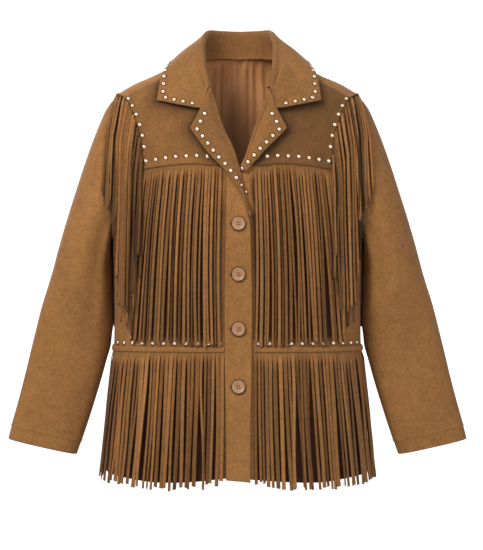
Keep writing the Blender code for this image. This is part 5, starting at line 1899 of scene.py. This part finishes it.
@dataclass
class Fringes:
    """Every fringe, and the narrow tape sewn over the top of the waist fringe."""
    block: Block
    panels: Panels
    finishes: Finishes
    strap: Strap = Strap()
    chest_x: dict[Hand, float] = by_hand(24.0, 27.0)    # where the chest fringes start
    waist_x: dict[Hand, float] = by_hand(20.5, 26.5)    # where the waist fringes start
    tape_lift: float = 3.45
    tape_height: float = 8.0
    stud_z: float = -478.5
    stud_pitch: float = 18.8
    chest_cut: Cut = Cut(0.142, 0.300, 0.0400)
    back_cut: Cut = Cut(0.360, 0.300, 0.1030)
    waist_front_cut: Cut = Cut(0.258, 0.228, 0.0545)
    waist_back_cut: Cut = Cut(0.540, 0.228, 0.1180)
    armhole_cut: Cut = Cut(0.420, 0.340, 0.0765)
    # painted shade: how light the lowest strands are, and how much lighter the topmost
    body_light: tuple[float, float] = (0.60, 0.56)
    arm_light: tuple[float, float] = (0.22, 0.92)
    top_dark: float = 0.28      # painted shadow: how much darker a fringe is just under its seam
    pile: float = 6.0           # most that armhole strands pile up on one another
    steepest: float = 0.3       # least slant that a strand's thickness is measured across
    highest: float = 14.0       # most that a strand stands off a steep place
    arm_strap: Strap = Strap(shoulder=1.5, edge_dark=0.82)

    def _spread(self, line: Pairs, face: Face, shares: Array) -> Array:
        """Return (across, z) at shares of the length of a line over the body."""
        places = self.block.form.trace(line, face, 200)
        points = self.block.form.point(places)
        dense = np.stack((places[:, 0], points[:, 2]), axis=-1)
        run = run_of(points)
        return resampled(dense, shares * run[-1], run)

    def body_fringe(self, name: str, line: Pairs, tips: Pairs, face: Face, count: int, hang: Hang,
                    seed: int) -> Piece:
        """Fringe cut from one strip, that hangs from a line across the body to a line of tips.

        Args:
            name: Solid that it stands for.
            line: Line that its upper edge is sewn along.
            tips: Line of its tips, from the same side.
            face: Side of the body.
            count: How many strands.
            hang: How it hangs.
            seed: For its unevenness.

        Returns:
            The piece.
        """
        rng = np.random.default_rng(seed)
        form, work = self.block.form, Stitchwork(f"{name}_cut")
        cuts = np.concatenate(([0.0], np.cumsum(rng.uniform(0.72, 1.28, count))))
        cuts /= cuts[-1]
        middles = 0.5 * (cuts[1:] + cuts[:-1])
        roots, ends = self._spread(line, face, middles), self._spread(tips, face, middles)
        edges = self._spread(line, face, cuts)
        edge_points = form.laid(form.place_at(edges[:, 0], edges[:, 1], face), hang.lift)
        pitch = np.linalg.norm(np.diff(edge_points, axis=0), axis=1)
        slits = hang.uncut[0] + hang.uncut[1] * rng.beta(1.3, 2.4, count + 1)
        slits[0] = slits[-1] = 0.0
        flip = -1 if edge_points[-1, 0] * face.value > edge_points[0, 0] * face.value else 1
        for k in range(count):
            length = roots[k, 1] - ends[k, 1] + rng.uniform(-hang.uneven, hang.uneven)
            run = np.concatenate((np.arange(0, 46, 3.2), np.linspace(50, length - 4, int(length / 9)),
                                  (length - 1.5, length)))
            start = max(slits[k], slits[k + 1])
            rest = np.clip((run - start) / (length - start), 0, 1)
            free = smooth_step(run, start - 2, start + 16)
            phase, speed = rng.uniform(0, math.tau), rng.uniform(2.0, 4.6)
            calm = min(1.0, 0.15 + 0.3 * min(k, count - 1 - k))
            sway = (hang.wander * calm * rng.normal(0, 1)
                    * (np.sin(speed * rest + phase) - math.sin(phase)))
            across = (roots[k, 0] + (ends[k, 0] - roots[k, 0]) * rest ** 1.05
                      + sway / form.across_mm)
            turn = (np.clip(rng.normal(0, hang.twist), -1.15, 1.15) * calm * rest ** 0.4
                    + rng.normal(0, 0.14) * np.sin(rng.uniform(3, 7) * rest)) * free
            layer = rng.random()
            over = hang.layers * layer * free * (0.3 + 0.7 * calm)
            wave = rng.uniform(0.2, 1.1) * (1 - np.cos(rng.uniform(4, 9) * rest)) * free
            lift = (hang.lift + hang.out * (0.3 + 0.7 * calm) * rest ** 1.2 + over + calm * wave
                    + 0.5 * pitch[k] * np.abs(np.sin(turn)))
            places = form.place_at(np.clip(across, -0.997, 0.997), roots[k, 1] - run, face)
            opened = [smooth_step(run, slit, slit + 16) for slit in (slits[k], slits[k + 1])][::flip]
            narrow = 1 - (1 - hang.narrowing) * rest
            sides = tuple(0.5 * pitch[k] * narrow * (1.0 - 0.12 * cut) for cut in opened)
            tint = np.array(STRAND_TINTS[rng.integers(len(STRAND_TINTS))])
            tint = tint * hang.tone * (self.body_light[0] + self.body_light[1] * layer)
            tint = 1 + (tint - 1) * smooth_step(run, start - 8, start + 22)[:, None]
            tint = tint * (1 - self.top_dark * (1 - smooth_step(run, 2.0, 26.0)))[:, None]
            self.strap.add(work, form.laid(places, lift), form.normal(places), sides, tint, turn, free,
                           rng.uniform(-0.3, 0.3), rng.uniform(0.05, 0.45))
        self.panels.trees[name] = work.tree()
        return work.make(self.finishes.leather, "fringe_suede", (name,))

    def tape(self, name: str, line: Pairs, face: Face) -> Piece:
        """Narrow tape sewn over the top of the waist fringe, with its line of stitches."""
        form = self.block.form
        rows = [form.trace(shifted(line, -dz), face, 150, False)
                for dz in np.linspace(0, self.tape_height, 9)]
        bulge = 0.7 * np.sin(np.linspace(0, math.pi, len(rows)))[:, None]
        grid = form.laid(np.array(rows), self.tape_lift + bulge)
        outward = -1 if grid[0, -1, 0] > grid[0, 0, 0] else 1
        shell = Shell(grid, FRINGE, outward if face is Face.FRONT else -outward)
        kinds = (self.finishes.suede, self.finishes.edge)
        return shell.piece(f"{name}_cut", kinds, "fringe_suede", name)

    @staticmethod
    def level(x_from: float, x_to: float, z: float, dip: float = 0.0) -> list[tuple[float, float]]:
        """Return a level line across the body, lower by the dip in the middle."""
        return [(x, z - dip * (1 - (x / 210.0) ** 2)) for x in np.linspace(x_from, x_to, 9)]

    def waist_studs(self, name: str, under: str, face: Face, x_from: float, x_to: float) -> Piece:
        """Studs in a row over the top of the waist fringe, seated by the panel under it."""
        line = dense_line([(x_from, self.stud_z), (x_to, self.stud_z)])
        seat = seat_on(self.panels.trees[under], line, face)
        return self.panels.studs(name, [spaced(seat, self.stud_pitch, 2.0)])

    def build_front(self, hand: Hand) -> None:
        """Build the chest fringe, waist fringe, tape and waist studs of one front."""
        form, front = self.block.form, f"front_{hand.label}"
        hem, seam = (float(form.seam_x(z, Face.FRONT)) for z in (HEM_Z - 10, WAIST_Z))
        inner, near = self.chest_x[hand], self.waist_x[hand]
        roots = shifted([(154, -191), *YOKE_LINE[Face.FRONT][1:3], (inner, -186.5)], 1.0)
        ends = [(177.0, -475.5), (140, -477.0), (90, -479.5), (inner + 1, -482.0)]
        roots, ends = (mirrored(line, hand)[::int(-hand.value)] for line in (roots, ends))
        chest = self.body_fringe(f"chest_fringe_{hand.label}", roots, ends, Face.FRONT, 24,
                                 CHEST_HANG, 11 + hand.value)
        line = self.level(near, seam, WAIST_Z + 2)
        ends = [(near * 1.08, -704.5), (60, -712.5), (120, -716), (180, -712), (hem, -699)]
        line, ends = (mirrored(path, hand)[::int(hand.value)] for path in (line, ends))
        waist = self.body_fringe(f"waist_fringe_{front}", line, ends, Face.FRONT, 35, WAIST_HANG,
                                 21 + hand.value)
        taped = mirrored(self.level(near + 0.5, seam, WAIST_Z), hand)[::int(hand.value)]
        tape = self.tape(f"waist_tape_{front}", taped, Face.FRONT)
        studs = self.waist_studs(f"studs_waist_{front}", front, Face.FRONT,
                                 hand.value * (near + 6), hand.value * 200)

    def build_back(self) -> None:
        """Build the fringe under the back yoke, and the back's waist fringe, tape and studs."""
        half = shifted(YOKE_LINE[Face.BACK], 1.0)
        back = self.body_fringe("back_fringe", mirrored(half, Hand.RIGHT) + half[-2::-1],
                                [(-184, -478), (0, -484), (184, -478)], Face.BACK, 48, CHEST_HANG, 36)
        hem, seam = (float(self.block.form.seam_x(z, Face.BACK)) for z in (HEM_Z - 10, WAIST_Z))
        waist = self.body_fringe("waist_fringe_back", self.level(-seam, seam, WAIST_Z + 2),
                                 self.level(-hem, hem, -704.0, 8.0), Face.BACK, 66, WAIST_HANG, 41)
        tape = self.tape("waist_tape_back", self.level(-seam, seam, WAIST_Z), Face.BACK)
        studs = self.waist_studs("studs_waist_back", "back", Face.BACK, -198, 198)

    def build(self, sleeves: Sleeves) -> None:
        """Build the fringes and tapes of the body, then the fringes of the armholes."""
        for hand in Hand:
            self.build_front(hand)
        self.build_back()
        for hand in Hand:
            self.armhole(sleeves, hand)

    def cover(self, trees: Sequence[BVHTree], x: float, z: float, face: Face, lift: float) -> float:
        """Return how far out, along the face, a point lies on everything already built."""
        start, way, reach = Vector((x, face.value * FAR, z)), Vector((0, -face.value, 0)), 0.0
        for tree in trees:
            hit, normal, _, _ = tree.ray_cast(start, way)
            if hit is not None:
                over = lift / max(self.steepest, abs(normal.y))
                reach = max(reach, hit.y * face.value + min(self.highest, over))
        return reach

    def armhole(self, sleeves: Sleeves, hand: Hand) -> None:
        """Fringe sewn round the armhole, hanging over the front and back of the sleeve."""
        name = f"armhole_fringe_{hand.label}"
        work = Stitchwork(f"{name}_cut")
        rng = np.random.default_rng(51 + hand.value)
        trees = self.panels.trees
        base = {
            Face.FRONT: [trees[f"{part}_{hand.label}"]
                         for part in ("sleeve", "front", "front_yoke", "chest_fringe")],
            Face.BACK: [trees[f"sleeve_{hand.label}"], trees["back"], trees["back_yoke"],
                        trees["back_fringe"]],
        }
        arcs = {Face.FRONT: (97.0, 2.0), Face.BACK: (-2.0, -96.0)}
        for face in Face:
            strands = ARMHOLE_STRANDS[face]
            along = np.linspace(0, 1, len(strands)) ** (0.72 if face is Face.FRONT else 1.39)
            angles = np.radians(arcs[face][0] + (arcs[face][1] - arcs[face][0]) * along)
            angles[1:-1] += np.radians(rng.uniform(-1.2, 1.2, len(angles) - 2))
            root, way, out = sleeves.frame(angles, hand)
            laid: list[BVHTree] = []
            for layer, k in enumerate(rng.permutation(len(strands))):
                single = Stitchwork("strand")
                lit = self.arm_light[0] + self.arm_light[1] * (layer / len(strands)) ** 0.75
                lit = lit * rng.uniform(0.74, 1.1)
                self._armhole_strand(single, hand, face, strands[k], root[k], way[k], out[k],
                                     base[face], laid, lit, rng)
                laid.append(single.tree())
                work.add(np.concatenate(single.points),
                         *((np.array([f]), m) for f, m in zip(single.faces, single.finish)),
                         tint=np.concatenate(single.tints))
        piece = work.make(self.finishes.leather, "fringe_suede", (name,))

    def _armhole_strand(self, work: Stitchwork, hand: Hand, face: Face, strand: HungStrand,
                        root: Array, way: Array, out: Array, under: Sequence[BVHTree],
                        laid: Sequence[BVHTree], lit: float, rng: np.random.Generator) -> None:
        """Lay one strand from its root on the armhole down over whatever is under it."""
        first = root - 2.5 * way + 1.3 * out
        x0, z0 = hand.value * first[0], first[2]
        length = max(20.0, z0 - strand.end_z)
        drops = np.concatenate((np.array((0.0, 2.5, 5, 8, 12, 16, 21, 26, 32, 38, 45, 53, 62)),
                                np.linspace(71, 1000, 104)))
        drops = np.append(drops[drops < length - 5], length)
        rest = drops / length
        share = 0.5 * np.clip(drops / 70.0, 0, 1) + 0.5 * rest
        sway = 0.8 * rng.normal(0, 1) * np.sin(drops / rng.uniform(24, 50) + rng.uniform(0, 6))
        x = x0 + share * (strand.x - x0) + sway * smooth_step(drops, 30, 90)
        z = z0 - drops
        half = 0.5 * rng.uniform(3.9, 5.7) * (1 - 0.06 * rest)
        turn = np.clip(rng.normal(0, 0.45), -1.1, 1.1) * smooth_step(drops, 20, 150)
        bare, piled = (np.array([max(self.cover(trees, hand.value * (px + dx), pz, face, lift)
                                     for dx in (-w, -0.5 * w, 0.0, 0.5 * w, w))
                                 for px, pz, w in zip(x, z, 0.9 * half)])
                       for trees, lift in ((under, 0.5 * FRINGE + 0.8), (laid, 0.5 * FRINGE + 0.4)))
        reach = np.maximum(bare, np.minimum(piled, bare + self.pile))
        start = first[1] * face.value
        spread = np.array([reach[max(0, k - 1):k + 2].max() for k in range(len(reach))])
        spread = spread + half * np.abs(np.sin(turn)) * 0.7
        hung = np.maximum.accumulate(np.maximum(spread, start - 30))
        loose = np.minimum(hung, spread + 3.0 + 0.07 * np.clip(drops - 60, 0, None))
        depth = np.convolve(np.pad(loose, 2, mode="edge"), (0.1, 0.2, 0.4, 0.2, 0.1), mode="valid")
        depth = np.maximum(depth, spread)
        blend = smooth_step(drops, 0, 16)
        depth = start * (1 - blend) + depth * blend
        depth = np.maximum(depth, np.where(drops > 4, reach, start))
        middle = np.stack((hand.value * x, face.value * depth, z), axis=-1)
        facing = np.array((0.0, face.value, 0.0))
        normal = unit(out * (1 - blend[:, None]) + facing * blend[:, None])
        down = unit(np.gradient(middle, axis=0))
        normal = unit(normal - np.sum(normal * down, axis=1, keepdims=True) * down)
        tint = np.array(STRAND_TINTS[rng.integers(len(STRAND_TINTS))]) * lit
        tint = np.broadcast_to(tint, (len(drops), 3))
        self.arm_strap.add(work, middle, normal, (half, half), tint, turn, np.ones(len(drops)),
                       rng.uniform(-0.3, 0.3), rng.uniform(0.05, 0.4))


# ---------- studio

@dataclass(frozen=True)
class Lamp:
    """Soft rectangular lamp."""
    name: str
    place: Point
    target: Point
    size: tuple[float, float]
    power: float
    colour: Colour = (1.0, 1.0, 1.0)

    def light(self) -> None:
        """Add the lamp to the scene."""
        data = bpy.data.lights.new(self.name, "AREA")
        data.shape, data.size, data.size_y = "RECTANGLE", *self.size
        data.energy, data.color = self.power, self.colour
        lamp = bpy.data.objects.new(self.name, data)
        lamp.location = self.place
        way = Vector(self.target) - Vector(self.place)
        lamp.rotation_euler = way.to_track_quat("-Z", "Y").to_euler()
        bpy.context.scene.collection.objects.link(lamp)


@dataclass
class Studio:
    """Plain pale floor and surround, soft lamps and the camera."""
    floor_z: float = -1.25
    floor_half: float = 9.0
    dome_radius: float = 14.0
    ambient: float = 0.29
    camera_place: Point = (0.0068, -3.0, -0.3667)
    lens: float = 116.2
    lamps: tuple[Lamp, ...] = (
        Lamp("key", (-1.55, -2.1, 1.6), (0.0, 0.0, -0.3), (1.3, 1.3), 80.0, (1.0, 0.985, 0.96)),
        Lamp("fill", (1.6, -2.6, 0.5), (0.0, 0.0, -0.35), (1.4, 1.4), 24.0, (0.98, 0.99, 1.0)),
        Lamp("behind", (-1.3, 2.6, 1.2), (0.0, 0.0, -0.35), (1.6, 1.6), 55.0, (1.0, 0.99, 0.97)),
    )

    def _surface(self, name: str, points: Array, faces: Array, finish: StudioFinish) -> Piece:
        """Add one surface of the studio."""
        mesh = bpy.data.meshes.new(name)
        mesh.from_pydata(points.tolist(), [], faces.tolist())
        mesh.materials.append(finish.material())
        mesh.polygons.foreach_set("use_smooth", [True] * len(faces))
        surface = bpy.data.objects.new(name, mesh)
        bpy.context.scene.collection.objects.link(surface)
        return surface

    def floor(self) -> None:
        """Pale floor under the jacket."""
        corners = np.array([(-1, -1), (1, -1), (1, 1), (-1, 1)]) * self.floor_half
        points = np.c_[corners, np.full(4, self.floor_z)]
        floor = self._surface("floor", points, np.array([[0, 1, 2, 3]]),
                              StudioFinish("floor_paper", (0.95, 0.95, 0.95), 0.9))
        floor.visible_diffuse = False

    def surround(self) -> None:
        """White surround that is seen behind the jacket and mirrored in the studs."""
        around, rings = 48, 20
        tall = np.linspace(-0.5 * math.pi + 0.02, 0.5 * math.pi - 0.02, rings)
        turn = round_turn(around)
        points = self.dome_radius * np.stack((np.cos(tall)[:, None] * np.cos(turn),
                                              np.cos(tall)[:, None] * np.sin(turn),
                                              np.sin(tall)[:, None] * np.ones(around)), axis=-1)
        dome = self._surface("surround", points.reshape(-1, 3), grid_quads(rings, around, True)[:, ::-1],
                             StudioFinish("surround_paper", (1.0, 1.0, 1.0), 1.0))
        dome.visible_diffuse = False
        dome.visible_shadow = False
        dome.visible_transmission = False

    def build(self) -> None:
        """Set up the world, lamps, surround and camera."""
        scene = bpy.context.scene
        world = bpy.data.worlds.new("studio")
        world.use_nodes = True
        world.node_tree.nodes["Background"].inputs["Color"].default_value = (1, 1, 1, 1)
        world.node_tree.nodes["Background"].inputs["Strength"].default_value = self.ambient
        scene.world = world
        scene.view_settings.view_transform = "Standard"
        for lamp in self.lamps:
            lamp.light()
        self.floor()
        self.surround()
        data = bpy.data.cameras.new("camera")
        data.lens, data.sensor_width, data.clip_end = self.lens, 36.0, 100.0
        camera = bpy.data.objects.new("camera", data)
        camera.location = self.camera_place
        camera.rotation_euler = (math.pi / 2, 0.0, 0.0)
        scene.collection.objects.link(camera)
        scene.camera = camera


def main() -> None:
    """Dress the jacket and set up the studio."""
    logging.basicConfig(level=logging.INFO, format="%(name)s: %(message)s")
    block, finishes = Block(), Finishes()
    panels = Panels(block, finishes)
    panels.build()
    sleeves = Sleeves(block, panels, finishes)
    sleeves.build()
    Collar(block, panels, finishes).build()
    Facings(block, panels, finishes).build()
    Fringes(block, panels, finishes).build(sleeves)
    Studio().build()


if __name__ == "__main__":
    main()
